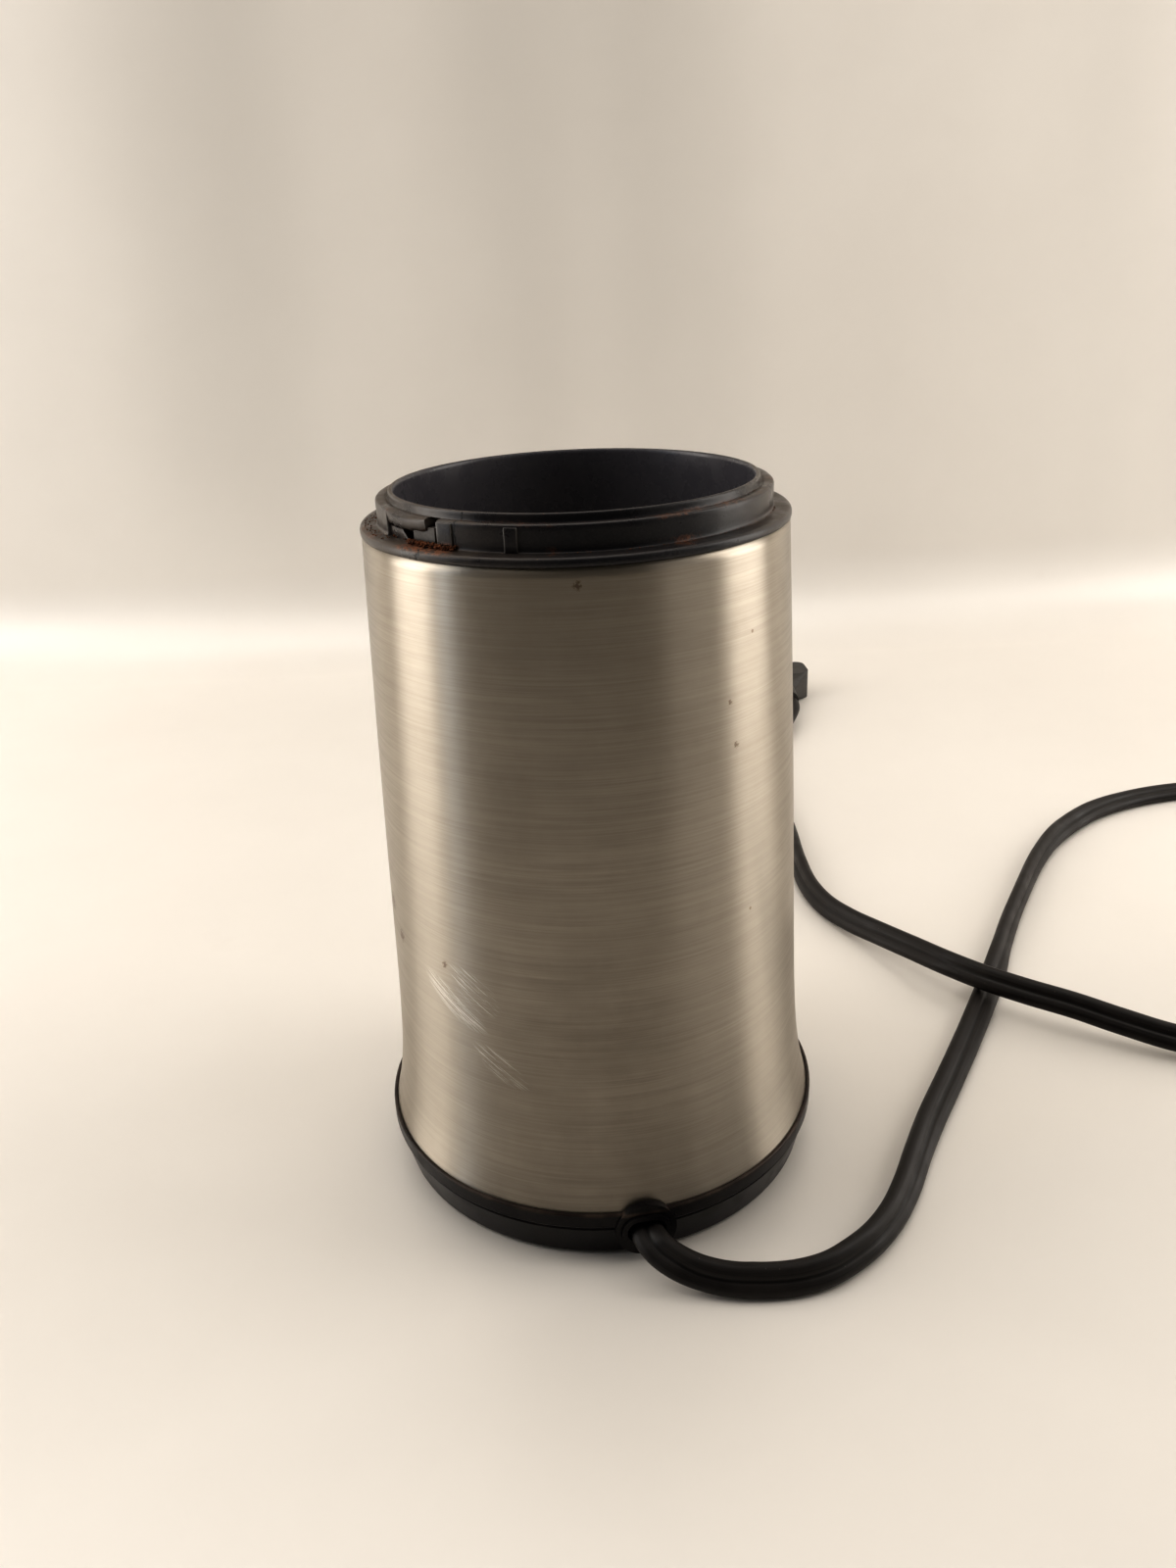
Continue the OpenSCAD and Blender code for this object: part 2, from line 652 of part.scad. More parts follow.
module armature_core() {
    color("dimgray") translate([0, 0, stack_z]) linear_extrude(stack_h) difference() {
        circle(r = armature_r);
        circle(r = shaft_r);
        slots(armature_r, slot_count, slot_w, slot_depth) square([slot_depth + 1, slot_w]);
    }
}

module armature_winding() {
    bar_r = armature_r - 0.8;
    end_h = overhang - 1;
    color("chocolate") union() {
        for (z = [stack_z - end_h, stack_top]) rotate_extrude() translate([0, z])
            polygon(concat(
                [[shaft_r + 1.2, 0]], arc(bar_r - 2, 2, 2, -90, 0, 3),
                arc(bar_r - 2, end_h - 2, 2, 0, 90, 3), [[shaft_r + 1.2, end_h]]));
        translate([0, 0, stack_z - eps]) linear_extrude(stack_h + 2 * eps)
            slots(armature_r, slot_count, slot_w, slot_depth)
                translate([0.1, 0.1]) square([slot_depth - 1, slot_w - 0.2]);
    }
}

module commutator() {
    color("peru") translate([0, 0, comm_z]) linear_extrude(comm_h) difference() {
        circle(r = comm_r);
        circle(r = shaft_r);
        slots(comm_r, slot_count, 0.5, 0.8) square([2, 0.5]);
    }
}

module cooling_fan() {
    blades = 9;
    color("white") {
        ring(fan_r - 1, shaft_r, fan_z, fan_z + 1.2);
        ring(shaft_r + 3, shaft_r, fan_z, fan_top);
        for (i = [0 : blades - 1]) rotate([0, 0, 360 * i / blades])
            block([shaft_r + 1, -0.6, fan_z + 0.5], [fan_r, 0.6, fan_top]);
    }
}

// ---- Field and brackets ----

shoe_r = stator_bore_r + 3.5;
window_x = stack_x / 2 - 6;
window_y = stack_y / 2 - 6;
neck_w = 16;

module stack_outline() {
    r = 6;
    offset_x = stack_x / 2 - r;
    offset_y = stack_y / 2 - r;
    square([stack_x, 2 * offset_y], center = true);
    square([2 * offset_x, stack_y], center = true);
    for (x = [-1, 1]) for (y = [-1, 1]) translate([x * offset_x, y * offset_y]) circle(r = r);
}

module stator_core() {
    color("slategray") translate([0, 0, stack_z]) linear_extrude(stack_h) difference() {
        union() {
            difference() {
                stack_outline();
                square([2 * window_x, 2 * window_y], center = true);
            }
            square([2 * window_x + 1, neck_w], center = true);
            for (s = [-1, 1]) intersection() {
                circle(r = shoe_r);
                polygon([[0, 0], [s * shoe_r, -1.2 * shoe_r], [s * shoe_r, 1.2 * shoe_r]]);
            }
        }
        circle(r = stator_bore_r);
        at_through_2d() circle(r = through_r + seat_gap);
    }
}

module at_through_2d() { for (y = [-1, 1]) translate([0, y * through_y]) children(); }

module stator_coil(side) {
    x0 = shoe_r + 0.3;
    x1 = window_x - 0.2;
    grow = overhang - 1;
    color("darkorange") scale_side(side) translate([x0, 0, stack_z + stack_h / 2]) rotate([90, 0, 90])
        linear_extrude(x1 - x0) difference() {
            union() {
                square([neck_w + 2 * grow, stack_h + 0.6], center = true);
                square([neck_w + 0.6, stack_h + 2 * grow], center = true);
                for (x = [-1, 1]) for (y = [-1, 1])
                    translate([x * (neck_w / 2 + 0.3), y * (stack_h / 2 + 0.3)]) circle(r = grow - 0.3);
            }
            square([neck_w + 0.4, stack_h + 0.4], center = true);
        }
}

module scale_side(side) {
    if (side < 0) mirror([1, 0, 0]) children();
    else children();
}

module stator_coil_left() { stator_coil(-1); }
module stator_coil_right() { stator_coil(1); }

module upper_bracket() {
    half = mount_xy + mount_r;
    color("lightsteelblue") difference() {
        union() {
            translate([0, 0, bracket_z]) linear_extrude(bracket_t) union() {
                square([2 * half, 2 * mount_xy], center = true);
                square([2 * mount_xy, 2 * half], center = true);
                for (x = [-1, 1]) for (y = [-1, 1]) translate([x * mount_xy, y * mount_xy])
                    circle(r = mount_r);
                at_through_2d() circle(r = leg_r);
            }
            at_through() translate([0, 0, stack_top]) cylinder(r = leg_r, h = bracket_z - stack_top + eps);
            ring(bearing_boss_r, bearing_r, bracket_z - 1.5, bracket_top + 2);
        }
        translate([0, 0, bracket_z - 2]) cylinder(r = bearing_r, h = bracket_t + 6);
        at_through() translate([0, 0, stack_top - 1]) cylinder(r = through_r + seat_gap, h = 40);
        at_mounts() translate([0, 0, bracket_z - 1]) cylinder(r = screw_r + seat_gap, h = bracket_t + 2);
    }
}

module lower_bracket() {
    rest_x0 = comm_r + 3;
    rest_x1 = comm_r + 15;
    color("lightsteelblue") difference() {
        union() {
            translate([0, 0, lower_z]) linear_extrude(bracket_t) union() {
                square([2 * rest_x1, 14], center = true);
                square([16, 2 * through_y], center = true);
                at_through_2d() circle(r = leg_r);
                circle(r = bearing_boss_r);
            }
            at_through() translate([0, 0, lower_z]) cylinder(r = leg_r, h = stack_z - lower_z);
            for (s = [-1, 1]) scale_side(s)
                block([rest_x0, -7, lower_top - eps], [rest_x1, 7, brush_z - holder_h]);
            ring(bearing_boss_r, bearing_r, lower_boss_z, lower_z + eps);
        }
        translate([0, 0, lower_boss_z + 1]) cylinder(r = bearing_r, h = bearing_h);
        translate([0, 0, lower_boss_z - 1]) cylinder(r = shaft_r + 1, h = bearing_h + bracket_t + 6);
        at_through() translate([0, 0, lower_z - 1]) cylinder(r = through_r + seat_gap, h = 60);
    }
}

module upper_bearing() {
    color("darkgoldenrod") ring(bearing_r, shaft_r + play, bracket_z - 1.5, bracket_z - 1.5 + bearing_h);
}

module lower_bearing() {
    color("darkgoldenrod") ring(bearing_r, shaft_r + play, lower_boss_z + 1, lower_boss_z + 1 + bearing_h);
}

module bearing_retainers() {
    color("gray") {
        ring(bearing_boss_r - 1, shaft_r + 1, bracket_top + 2, bracket_top + 2 + retainer_t);
        ring(bearing_boss_r - 1, shaft_r + 1, lower_top, lower_top + retainer_t);
    }
}

module motor_screws() {
    top = bracket_top + 2.6;
    color("gray") at_through() {
        translate([0, 0, lower_z - 2.4]) cylinder(r = 2.8, h = 2.4);
        translate([0, 0, lower_z - 1]) cylinder(r = through_r, h = top - lower_z + 2);
        translate([0, 0, bracket_top]) cylinder(r = 2.9, h = 2.4, $fn = 6);
    }
}

holder_x0 = comm_r + 2;
holder_len = 14.5;
brush_x0 = comm_r + 0.2;
brush_len = 11;

module brush_holder(side) {
    half = brush_side / 2 + holder_gap;
    x1 = holder_x0 + holder_len;
    color("gold") scale_side(side) translate([0, 0, brush_z]) difference() {
        block([holder_x0, -half - holder_wall, -half - holder_wall], [x1, half + holder_wall,
            half + holder_wall]);
        block([holder_x0 - 1, -half, -half], [x1 - holder_wall, half, half]);
    }
}

module carbon_brush(side) {
    half = brush_side / 2;
    color([0.2, 0.2, 0.2]) scale_side(side) difference() {
        translate([0, 0, brush_z]) block([comm_r - 1, -half, -half], [brush_x0 + brush_len, half, half]);
        translate([0, 0, brush_z - half - 1]) cylinder(r = brush_x0, h = brush_side + 2);
    }
}

module brush_spring(side) {
    x0 = brush_x0 + brush_len;
    length = holder_x0 + holder_len - holder_wall - x0;
    color("silver") scale_side(side) translate([x0, 0, brush_z]) rotate([0, 90, 0])
        coil_spring(2.1, 0.3, length, 2.5);
}

module brush_holder_left() { brush_holder(-1); }
module brush_holder_right() { brush_holder(1); }
module carbon_brush_left() { carbon_brush(-1); }
module carbon_brush_right() { carbon_brush(1); }
module brush_spring_left() { brush_spring(-1); }
module brush_spring_right() { brush_spring(1); }

module rubber_mounts() {
    color([0.15, 0.15, 0.15]) at_mounts() ring(mount_r, screw_r + seat_gap, bracket_top, deck_z0 - boss_h);
}

module mount_screws() {
    z0 = bracket_z - 2;
    color("gray") at_mounts() {
        translate([0, 0, z0]) cylinder(r = head_r, h = 2);
        translate([0, 0, z0 + 1]) cylinder(r = screw_r, h = deck_z0 + 1 - z0 - 1);
    }
}

// ---- Interlock and switch ----

module interlock_rod() {
    color([0.2, 0.2, 0.21]) at_rod() union() {
        block([tab_x0, -tab_w / 2, body_z1 - tab_foot], [tab_x0 + tab_t, tab_w / 2, tab_z1]);
        block([tab_x0, -tab_w / 2, body_z1 - tab_foot], [body_x0 + body_t, tab_w / 2, body_z1]);
        block([body_x0, -body_w / 2, shoulder_z], [body_x0 + body_t, body_w / 2, body_z1 - 1]);
        translate([stem_x, 0, shoulder_z]) cylinder(r = spring_r + spring_wire_r, h = shoulder_t);
        translate([stem_x, 0, stem_z0 + stem_r]) cylinder(r = stem_r, h = shoulder_z - stem_z0);
        translate([stem_x, 0, stem_z0 + stem_r]) sphere(r = stem_r);
    }
}

module interlock_spring() {
    color("silver") at_rod() translate([stem_x, 0, shelf_top])
        coil_spring(spring_r, spring_wire_r, spring_len, 6);
}

module switch_body() {
    half = switch_r / 2;
    ear_x = 2.15;
    color([0.25, 0.22, 0.2]) at_switch() translate([switch_x, 0, 0]) difference() {
        union() {
            block([-half, -switch_l / 2, switch_z], [half, switch_l / 2, switch_top]);
            for (s = [-1, 1]) scale_side(s)
                block([ear_x, pin_y - 1.2, switch_top - eps], [half, pin_y + 1.2, pin_z + 1.2]);
            for (n = [-1, 0, 1]) let (y = n * terminal_pitch)
                block([-0.25, y - 1.5, switch_z - terminal_h], [0.25, y + 1.5, switch_z + eps]);
        }
        translate([-5, pin_y, pin_z]) rotate([0, 90, 0]) cylinder(r = pin_r, h = 10);
        translate([0, pin_y + button_arm, switch_top - 4]) cylinder(r = button_r + play, h = 5);
        for (y = [-switch_hole_y, switch_hole_y]) translate([-5, y, switch_hole_z]) rotate([0, 90, 0])
            cylinder(r = switch_hole_r, h = 10);
    }
}

module switch_button() {
    z0 = switch_top - 4 + button_drop + 0.4;
    color("firebrick") at_switch() translate([switch_x, pin_y + button_arm, z0])
        cylinder(r = button_r, h = button_top - z0);
}

module switch_lever() {
    color("silver") at_switch() translate([switch_x, pin_y, pin_z]) difference() {
        union() {
            rotate([lever_tilt, 0, 0]) block([-2, 0, -lever_t / 2], [2, lever_arm + 2, lever_t / 2]);
            translate([-2, 0, 0]) rotate([0, 90, 0]) cylinder(r = barrel_r, h = 4);
        }
        translate([-3, 0, 0]) rotate([0, 90, 0]) cylinder(r = pin_r + play, h = 6);
    }
}

module lever_pin() {
    color("gray") at_switch() translate([switch_x - switch_r / 2, pin_y, pin_z]) rotate([0, 90, 0])
        cylinder(r = pin_r, h = switch_r);
}

module switch_screws() {
    x1 = switch_x + switch_r / 2;
    x0 = x1 - switch_r - 1.9;
    color("gray") at_switch() for (y = [-switch_hole_y, switch_hole_y]) translate([0, y, switch_hole_z]) {
        translate([x0, 0, 0]) rotate([0, 90, 0]) cylinder(r = 1.1, h = x1 - x0 + 0.5);
        translate([x1, 0, 0]) rotate([0, 90, 0]) cylinder(r = 1.9, h = 0.9);
    }
}

// ---- Cord and wiring ----

module cord_bushing() {
    y_out = -outlet_y - 0.5;
    y_in = -base_r + 4.5;
    color([0.13, 0.13, 0.14]) difference() {
        oval_bar(bush_w + 2 * bush_wall, bush_h + 2 * bush_wall, y_out, y_in, outlet_z);
        oval_bar(bush_w, bush_h, y_out - 1, y_in + 1, outlet_z);
    }
}

module cord_clamp() {
    z0 = cord_z + cord_t / 2;
    color("dimgray") difference() {
        block([-saddle_w / 2, saddle_y - saddle_len / 2, z0],
            [saddle_w / 2, saddle_y + saddle_len / 2, z0 + clamp_t]);
        for (x = [-clamp_screw_x, clamp_screw_x]) translate([x, saddle_y, z0 - 1])
            cylinder(r = clamp_screw_r + seat_gap, h = clamp_t + 2);
    }
}

module clamp_screws() {
    z1 = cord_z + cord_t / 2 + clamp_t;
    color("gray") for (x = [-clamp_screw_x, clamp_screw_x]) translate([x, saddle_y, 0]) {
        translate([0, 0, z1]) cylinder(r = 2.3, h = 1.4);
        translate([0, 0, floor_z + 0.5]) cylinder(r = clamp_screw_r, h = z1 - floor_z);
    }
}

function polar(r, a, z) = [r * cos(a), r * sin(a), z];

// Switch terminal number n, at the foot of its tongue
function terminal(n) =
    let (y = (n - 1) * terminal_pitch, a = atan2(y, switch_x))
    polar(norm([switch_x, y]), switch_angle + a, switch_z - terminal_h);

module lead_live() {
    t = terminal(2);
    r = post_circle + post_r + 2.6;
    color("saddlebrown") swept([
        [-1.8, lead_y, cord_z], [-1.8, lead_y + 2, cord_z], [-4, lead_y + 3, cord_z + 4],
        [-8, lead_y - 2, cord_z + 11],
        polar(r, 252, cord_z + 24), polar(r, 244, cord_z + 34), polar(r, 236, cord_z + 44),
        polar(r, 226, cord_z + 56), t - [0, 0, 6], t], wire_r, wire_r, level = false);
}

module lead_switched() {
    t = terminal(0);
    color("black") swept([
        t, t - [0, 0, 8], polar(42, 192, stack_z + 12), polar(38, 187, stack_z + 2),
        polar(34, 184, stack_z - 6), polar(30, 182, stack_z - 8), polar(26, 180, stack_z - 8)],
        wire_r, wire_r, level = false);
}

module lead_neutral() {
    color("white") swept([
        [1.8, lead_y, cord_z], [1.8, lead_y + 2, cord_z], [4, lead_y + 3, cord_z + 4],
        [9, lead_y - 2, cord_z + 11],
        polar(41, 305, cord_z + 20), polar(41, 325, stack_z - 12), polar(36, 345, stack_z - 8),
        polar(30, 356, stack_z - 8), polar(26, 360, stack_z - 8)], wire_r, wire_r, level = false);
}

module cord() { color([0.3, 0.3, 0.32]) swept(CORD_ROUTE, cord_w / 2, cord_t / 2); }

module at_plug() { translate(PLUG_AT) rotate([0, 0, PLUG_TURN]) children(); }

module plug_body() {
    neck = 10;
    color([0.12, 0.12, 0.13]) at_plug() {
        hull() {
            translate([0, 0, 0]) rotate([-90, 0, 0]) cylinder(d = 9, h = 1, $fn = 32);
            translate([0, neck, 0]) rotate([-90, 0, 0]) cylinder(d = 11, h = 1, $fn = 32);
        }
        hull() {
            translate([0, neck, 0]) rotate([-90, 0, 0]) cylinder(d = 10, h = 2, $fn = 32);
            for (s = [-1, 1]) translate([s * (plug_w / 2 - 5), plug_len - 12, 0])
                cylinder(r = 5, h = plug_t, center = true, $fn = 32);
        }
        hull() for (s = [-1, 1]) for (y = [plug_len - 12, plug_len - 4])
            translate([s * (plug_w / 2 - 4), y, 0]) cylinder(r = 4, h = plug_t, center = true, $fn = 32);
    }
}

module plug_blades() {
    blade_x = 6.35;
    color("gold") at_plug() for (s = [-1, 1]) {
        h = s < 0 ? 7.9 : 6.3;
        difference() {
            block([s * blade_x - 0.75, plug_len, -h / 2], [s * blade_x + 0.75, plug_len + 17, h / 2]);
            translate([s * blade_x - 2, plug_len + 12.5, 0]) rotate([0, 90, 0]) cylinder(r = 1.6, h = 4);
        }
    }
}

steel_sleeve();
top_housing();
grinding_bowl();
shaft_seal();
blade();
blade_spacer();
blade_nut();
rotor_shaft();
armature_core();
armature_winding();
commutator();
cooling_fan();
stator_core();
stator_coil_left();
stator_coil_right();
upper_bracket();
lower_bracket();
upper_bearing();
lower_bearing();
bearing_retainers();
brush_holder_left();
brush_holder_right();
carbon_brush_left();
carbon_brush_right();
brush_spring_left();
brush_spring_right();
motor_screws();
rubber_mounts();
mount_screws();
interlock_rod();
interlock_spring();
switch_body();
switch_button();
switch_lever();
lever_pin();
switch_screws();
base_ring();
bottom_pan();
base_screws();
rubber_feet();
cord_bushing();
cord_clamp();
clamp_screws();
lead_live();
lead_neutral();
lead_switched();
cord();
plug_body();
plug_blades();
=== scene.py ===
"""Looks of a blade coffee grinder's motor base without its lid.

Metres. The origin is at the bottom centre on the motor shaft's axis, +Z is up and -Y points at
the cord outlet. Lengths written with MM are millimetres.
"""

import math

import bmesh
import bpy
from mathutils import Matrix, Vector, noise


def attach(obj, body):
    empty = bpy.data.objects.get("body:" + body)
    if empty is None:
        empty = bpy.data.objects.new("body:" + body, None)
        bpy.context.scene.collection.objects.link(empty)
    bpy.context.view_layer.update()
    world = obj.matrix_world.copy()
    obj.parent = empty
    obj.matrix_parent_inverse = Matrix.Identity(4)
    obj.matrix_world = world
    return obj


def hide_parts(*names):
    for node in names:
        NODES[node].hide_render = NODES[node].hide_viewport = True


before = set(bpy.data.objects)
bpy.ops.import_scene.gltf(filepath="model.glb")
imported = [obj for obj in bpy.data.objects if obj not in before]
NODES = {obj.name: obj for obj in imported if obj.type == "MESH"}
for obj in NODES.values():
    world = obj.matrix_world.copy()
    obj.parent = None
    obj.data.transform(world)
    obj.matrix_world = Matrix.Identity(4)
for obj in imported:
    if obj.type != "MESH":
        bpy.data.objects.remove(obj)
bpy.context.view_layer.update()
MM = 0.001
TURN = 2 * math.pi
PER_DEGREE = 0.82            # millimetres along the sleeve's wall for one degree round it
ROD_ANGLE = 216.5            # degrees: where the push rod stands
CORE_TOP = 137.75            # millimetres: below it the housing keeps its CAD shape
CUP_WALL = (36.15, 36.45)    # millimetres: the radius where the cup's inside ends
FOOT_Z = 151.1               # millimetres: top of the flange at the collar's foot


# ---------------------------------------------------------------- camera

def make_camera():
    """A hand-held camera in front of the body, looking down at it, tipped a little clockwise."""
    yaw, down, roll = math.radians(9), 0.4173, -0.0463
    forward = Vector((math.sin(yaw) * math.cos(down), math.cos(yaw) * math.cos(down), -math.sin(down)))
    right = forward.cross(Vector((0, 0, 1))).normalized()
    up = right.cross(forward)
    right, up = (math.cos(roll) * right + math.sin(roll) * up,
                 math.cos(roll) * up - math.sin(roll) * right)
    data = bpy.data.cameras.new("camera")
    data.sensor_width = 36
    data.lens = 1213.5 / 1600 * 36
    data.clip_start = 0.01
    camera = bpy.data.objects.new("camera", data)
    bpy.context.scene.collection.objects.link(camera)
    camera.matrix_world = Matrix.Translation(Vector((-38.01, -239.98, 197.64)) * MM) @ Matrix(
        (right, up, -forward)).transposed().to_4x4()
    bpy.context.scene.camera = camera


# ---------------------------------------------------------------- node trees

class Graph:
    """Adds and wires the nodes of one shader or geometry tree."""

    def __init__(self, tree):
        self.tree = tree

    def add(self, kind, inputs=None, **settings):
        node = self.tree.nodes.new(kind)
        for name, value in settings.items():
            setattr(node, name, value)
        for key, value in (inputs or {}).items():
            self.plug(value, node.inputs[key])
        return node

    def plug(self, value, socket):
        if isinstance(value, bpy.types.NodeSocket):
            self.tree.links.new(value, socket)
        else:
            socket.default_value = value

    def calc(self, operation, *values):
        return self.add("ShaderNodeMath", dict(enumerate(values)), operation=operation).outputs[0]

    def plus(self, a, b):
        return self.calc("ADD", a, b)

    def minus(self, a, b):
        return self.calc("SUBTRACT", a, b)

    def times(self, a, b):
        return self.calc("MULTIPLY", a, b)

    def near(self, value, at, full, gone, most=1.0):
        """Most where the value is within full of at, and 0 where it is further off than gone."""
        return self.smooth(self.calc("ABSOLUTE", self.minus(value, at)), full, gone, most, 0.0)

    def split(self, point):
        return self.add("ShaderNodeSeparateXYZ", {0: point}).outputs

    def place(self, x, y, z):
        return self.add("ShaderNodeCombineXYZ", {"X": x, "Y": y, "Z": z}).outputs[0]

    def vector(self, operation, *values):
        return self.add("ShaderNodeVectorMath", dict(enumerate(values)), operation=operation).outputs[0]

    def smooth(self, value, low, high, start=0.0, end=1.0):
        """Goes from start to end as value goes from low to high."""
        keys = {"Value": value, "From Min": low, "From Max": high, "To Min": start, "To Max": end}
        return self.add("ShaderNodeMapRange", keys, interpolation_type="SMOOTHSTEP").outputs["Result"]

    def blend(self, factor, a, b):
        """Colour a where the factor is 0 and b where it is 1."""
        node = self.add("ShaderNodeMix", data_type="RGBA")
        for key, value in ((0, factor), (6, a), (7, b)):
            self.plug(value, node.inputs[key])
        return node.outputs[2]

    def grain(self, vector, scale, detail=2.0, roughness=0.5):
        keys = {"Vector": vector, "Scale": scale, "Detail": detail, "Roughness": roughness}
        return self.add("ShaderNodeTexNoise", keys).outputs["Fac"]


def new_group(name, kind, inputs, outputs):
    """A node group with named sockets. An input has a default number, or only a socket type."""
    tree = bpy.data.node_groups.new(name, kind)
    for way, sockets in (("INPUT", inputs), ("OUTPUT", outputs)):
        for label, value in sockets.items():
            data_type = value if isinstance(value, str) else "Int" if isinstance(value, int) else "Float"
            socket = tree.interface.new_socket(label, in_out=way, socket_type="NodeSocket" + data_type)
            if value != data_type:
                socket.default_value = value
    g = Graph(tree)
    return g, g.add("NodeGroupInput").outputs, g.add("NodeGroupOutput").inputs


def around_axis_group():
    """Where a point lies around the grinder's axis: degrees, radius and height in millimetres."""
    g, given, out = new_group("around_axis", "ShaderNodeTree", {
        "Point": "Vector"}, {"Degrees": "Float", "Radius": "Float", "Height": "Float"})
    split = g.split(given["Point"])
    turned = g.calc("DEGREES", g.calc("ARCTAN2", split["Y"], split["X"]))
    g.plug(g.calc("MODULO", g.plus(turned, 360.0), 360.0), out["Degrees"])
    flat = g.calc("SQRT", g.plus(g.times(split["X"], split["X"]), g.times(split["Y"], split["Y"])))
    g.plug(g.times(flat, 1000.0), out["Radius"])
    g.plug(g.times(split["Z"], 1000.0), out["Height"])
    return g.tree


def brushing_group():
    """Fine lines that a belt leaves around a turned wall."""
    g, given, out = new_group("belt_brushing", "ShaderNodeTree", {
        "Point": "Vector", "Line Pitch": 0.35, "Line Length": 14.0},
        {"Lines": "Float", "Height": "Float"})
    split = g.split(given["Point"])
    along = g.calc("DIVIDE", 1000.0, given["Line Length"])
    across = g.calc("DIVIDE", 1000.0, given["Line Pitch"])

    def layer(share, detail):
        stretched = g.place(g.times(split["X"], along), g.times(split["Y"], along),
                            g.times(split["Z"], g.times(across, share)))
        return g.grain(stretched, 1.0, detail, 0.65)

    fine, broad = layer(1.0, 3.0), layer(0.3, 2.0)
    lines = g.plus(g.times(fine, 0.65), g.times(broad, 0.35))
    g.plug(g.smooth(lines, 0.3, 0.7), out["Lines"])
    g.plug(fine, out["Height"])
    return g.tree


def patches_group():
    """Uneven patches with a soft or hard edge, for smudges, dust and stains."""
    g, given, out = new_group("uneven_patches", "ShaderNodeTree", {
        "Point": "Vector", "Patch Size": 12.0, "Cover": 0.5, "Edge": 0.12, "Seed": 0.0},
        {"Mask": "Float"})
    moved = g.vector("ADD", given["Point"], g.place(given["Seed"], given["Seed"], given["Seed"]))
    value = g.grain(moved, g.calc("DIVIDE", 1000.0, given["Patch Size"]), 5.0, 0.6)
    middle = g.minus(1.0, given["Cover"])
    g.plug(g.smooth(value, g.minus(middle, given["Edge"]),
                    g.plus(middle, given["Edge"])), out["Mask"])
    return g.tree


def specks_group():
    """Small separate spots, such as dust grains and pinholes."""
    g, given, out = new_group("small_specks", "ShaderNodeTree", {
        "Point": "Vector", "Spacing": 3.0, "Spot Size": 0.12}, {"Mask": "Float"})
    cells = g.add("ShaderNodeTexVoronoi", {
        "Vector": given["Point"], "Scale": g.calc("DIVIDE", 1000.0, given["Spacing"]),
        "Randomness": 1.0}).outputs
    tone = g.add("ShaderNodeSeparateColor", {0: cells["Color"]}).outputs[0]
    size = g.times(given["Spot Size"], g.smooth(tone, 0.45, 1.0))
    g.plug(g.calc("LESS_THAN", cells["Distance"], size), out["Mask"])
    return g.tree


def spot_group():
    """One ragged spot on a turned wall, placed by angle and height."""
    g, given, out = new_group("ragged_spot", "ShaderNodeTree", {
        "Point": "Vector", "Degrees": "Float", "Height": "Float", "At Degrees": 0.0, "At Height": 0.0,
        "Size": 1.0}, {"Mask": "Float"})
    across = g.times(g.minus(given["Degrees"], given["At Degrees"]), PER_DEGREE)
    rise = g.minus(given["Height"], given["At Height"])
    off = g.calc("SQRT", g.plus(g.times(across, across), g.times(rise, rise)))
    far = g.calc("DIVIDE", off, given["Size"])
    ragged = g.times(g.minus(g.grain(given["Point"], 1800.0, 4.0, 0.7), 0.5), 3.0)
    g.plug(g.smooth(g.plus(far, ragged), 0.35, 1.0, 1.0, 0.0), out["Mask"])
    return g.tree


def scratches_group():
    """A patch of nearly parallel scratches on a turned wall, placed by angle and height."""
    g, given, out = new_group("scratch_patch", "ShaderNodeTree", {
        "Degrees": "Float", "Height": "Float", "At Degrees": 0.0, "At Height": 0.0, "Slope": 0.0,
        "Length": 10.0, "Width": 3.0, "Pitch": 0.5, "Cover": 0.5}, {"Mask": "Float"})
    across = g.times(g.minus(given["Degrees"], given["At Degrees"]), PER_DEGREE)
    rise = g.minus(given["Height"], given["At Height"])
    slope = g.calc("RADIANS", given["Slope"])
    sine, cosine = g.calc("SINE", slope), g.calc("COSINE", slope)
    u = g.plus(g.times(across, cosine), g.times(rise, sine))
    v = g.minus(g.times(rise, cosine), g.times(across, sine))
    reach = g.plus(g.calc("POWER", g.calc("DIVIDE", u, given["Length"]), 2.0),
                   g.calc("POWER", g.calc("DIVIDE", v, given["Width"]), 2.0))
    inside = g.smooth(reach, 0.08, 0.3, 1.0, 0.0)
    strokes = g.grain(g.place(g.times(u, 0.09), g.calc("DIVIDE", v, given["Pitch"]), given["At Height"]),
                      1.0, 3.0, 0.7)
    limit = g.minus(1.0, given["Cover"])
    lines = g.smooth(strokes, limit, g.plus(limit, 0.1))
    g.plug(g.times(inside, lines), out["Mask"])
    return g.tree


GROUPS = {
    "around": around_axis_group(), "brushing": brushing_group(), "patches": patches_group(),
    "specks": specks_group(), "scratches": scratches_group(), "spot": spot_group()}


def use(g, name, **inputs):
    """Places one of the shared groups; an underscore in a name stands for a space."""
    node = g.add("ShaderNodeGroup", node_tree=GROUPS[name])
    for key, value in inputs.items():
        g.plug(value, node.inputs[key.replace("_", " ")])
    return node.outputs


class Finish(Graph):
    """A material with one Principled shader, and Object coordinates ready."""

    def __init__(self, name, **constants):
        self.material = bpy.data.materials.new(name)
        self.material.use_nodes = True
        super().__init__(self.material.node_tree)
        self.shader = self.tree.nodes["Principled BSDF"]
        self.where = self.add("ShaderNodeTexCoord").outputs
        self.point = self.where["Object"]
        for key, value in constants.items():
            self.shader.inputs[key.replace("_", " ")].default_value = value

    def drive(self, **values):
        for key, value in values.items():
            self.plug(value, self.shader.inputs[key.replace("_", " ")])

    def bump(self, height, depth_mm, strength=1.0):
        keys = {"Strength": strength, "Distance": depth_mm * MM, "Height": height}
        return self.add("ShaderNodeBump", keys).outputs[0]


def rgb(r, g, b):
    return (r, g, b, 1.0)


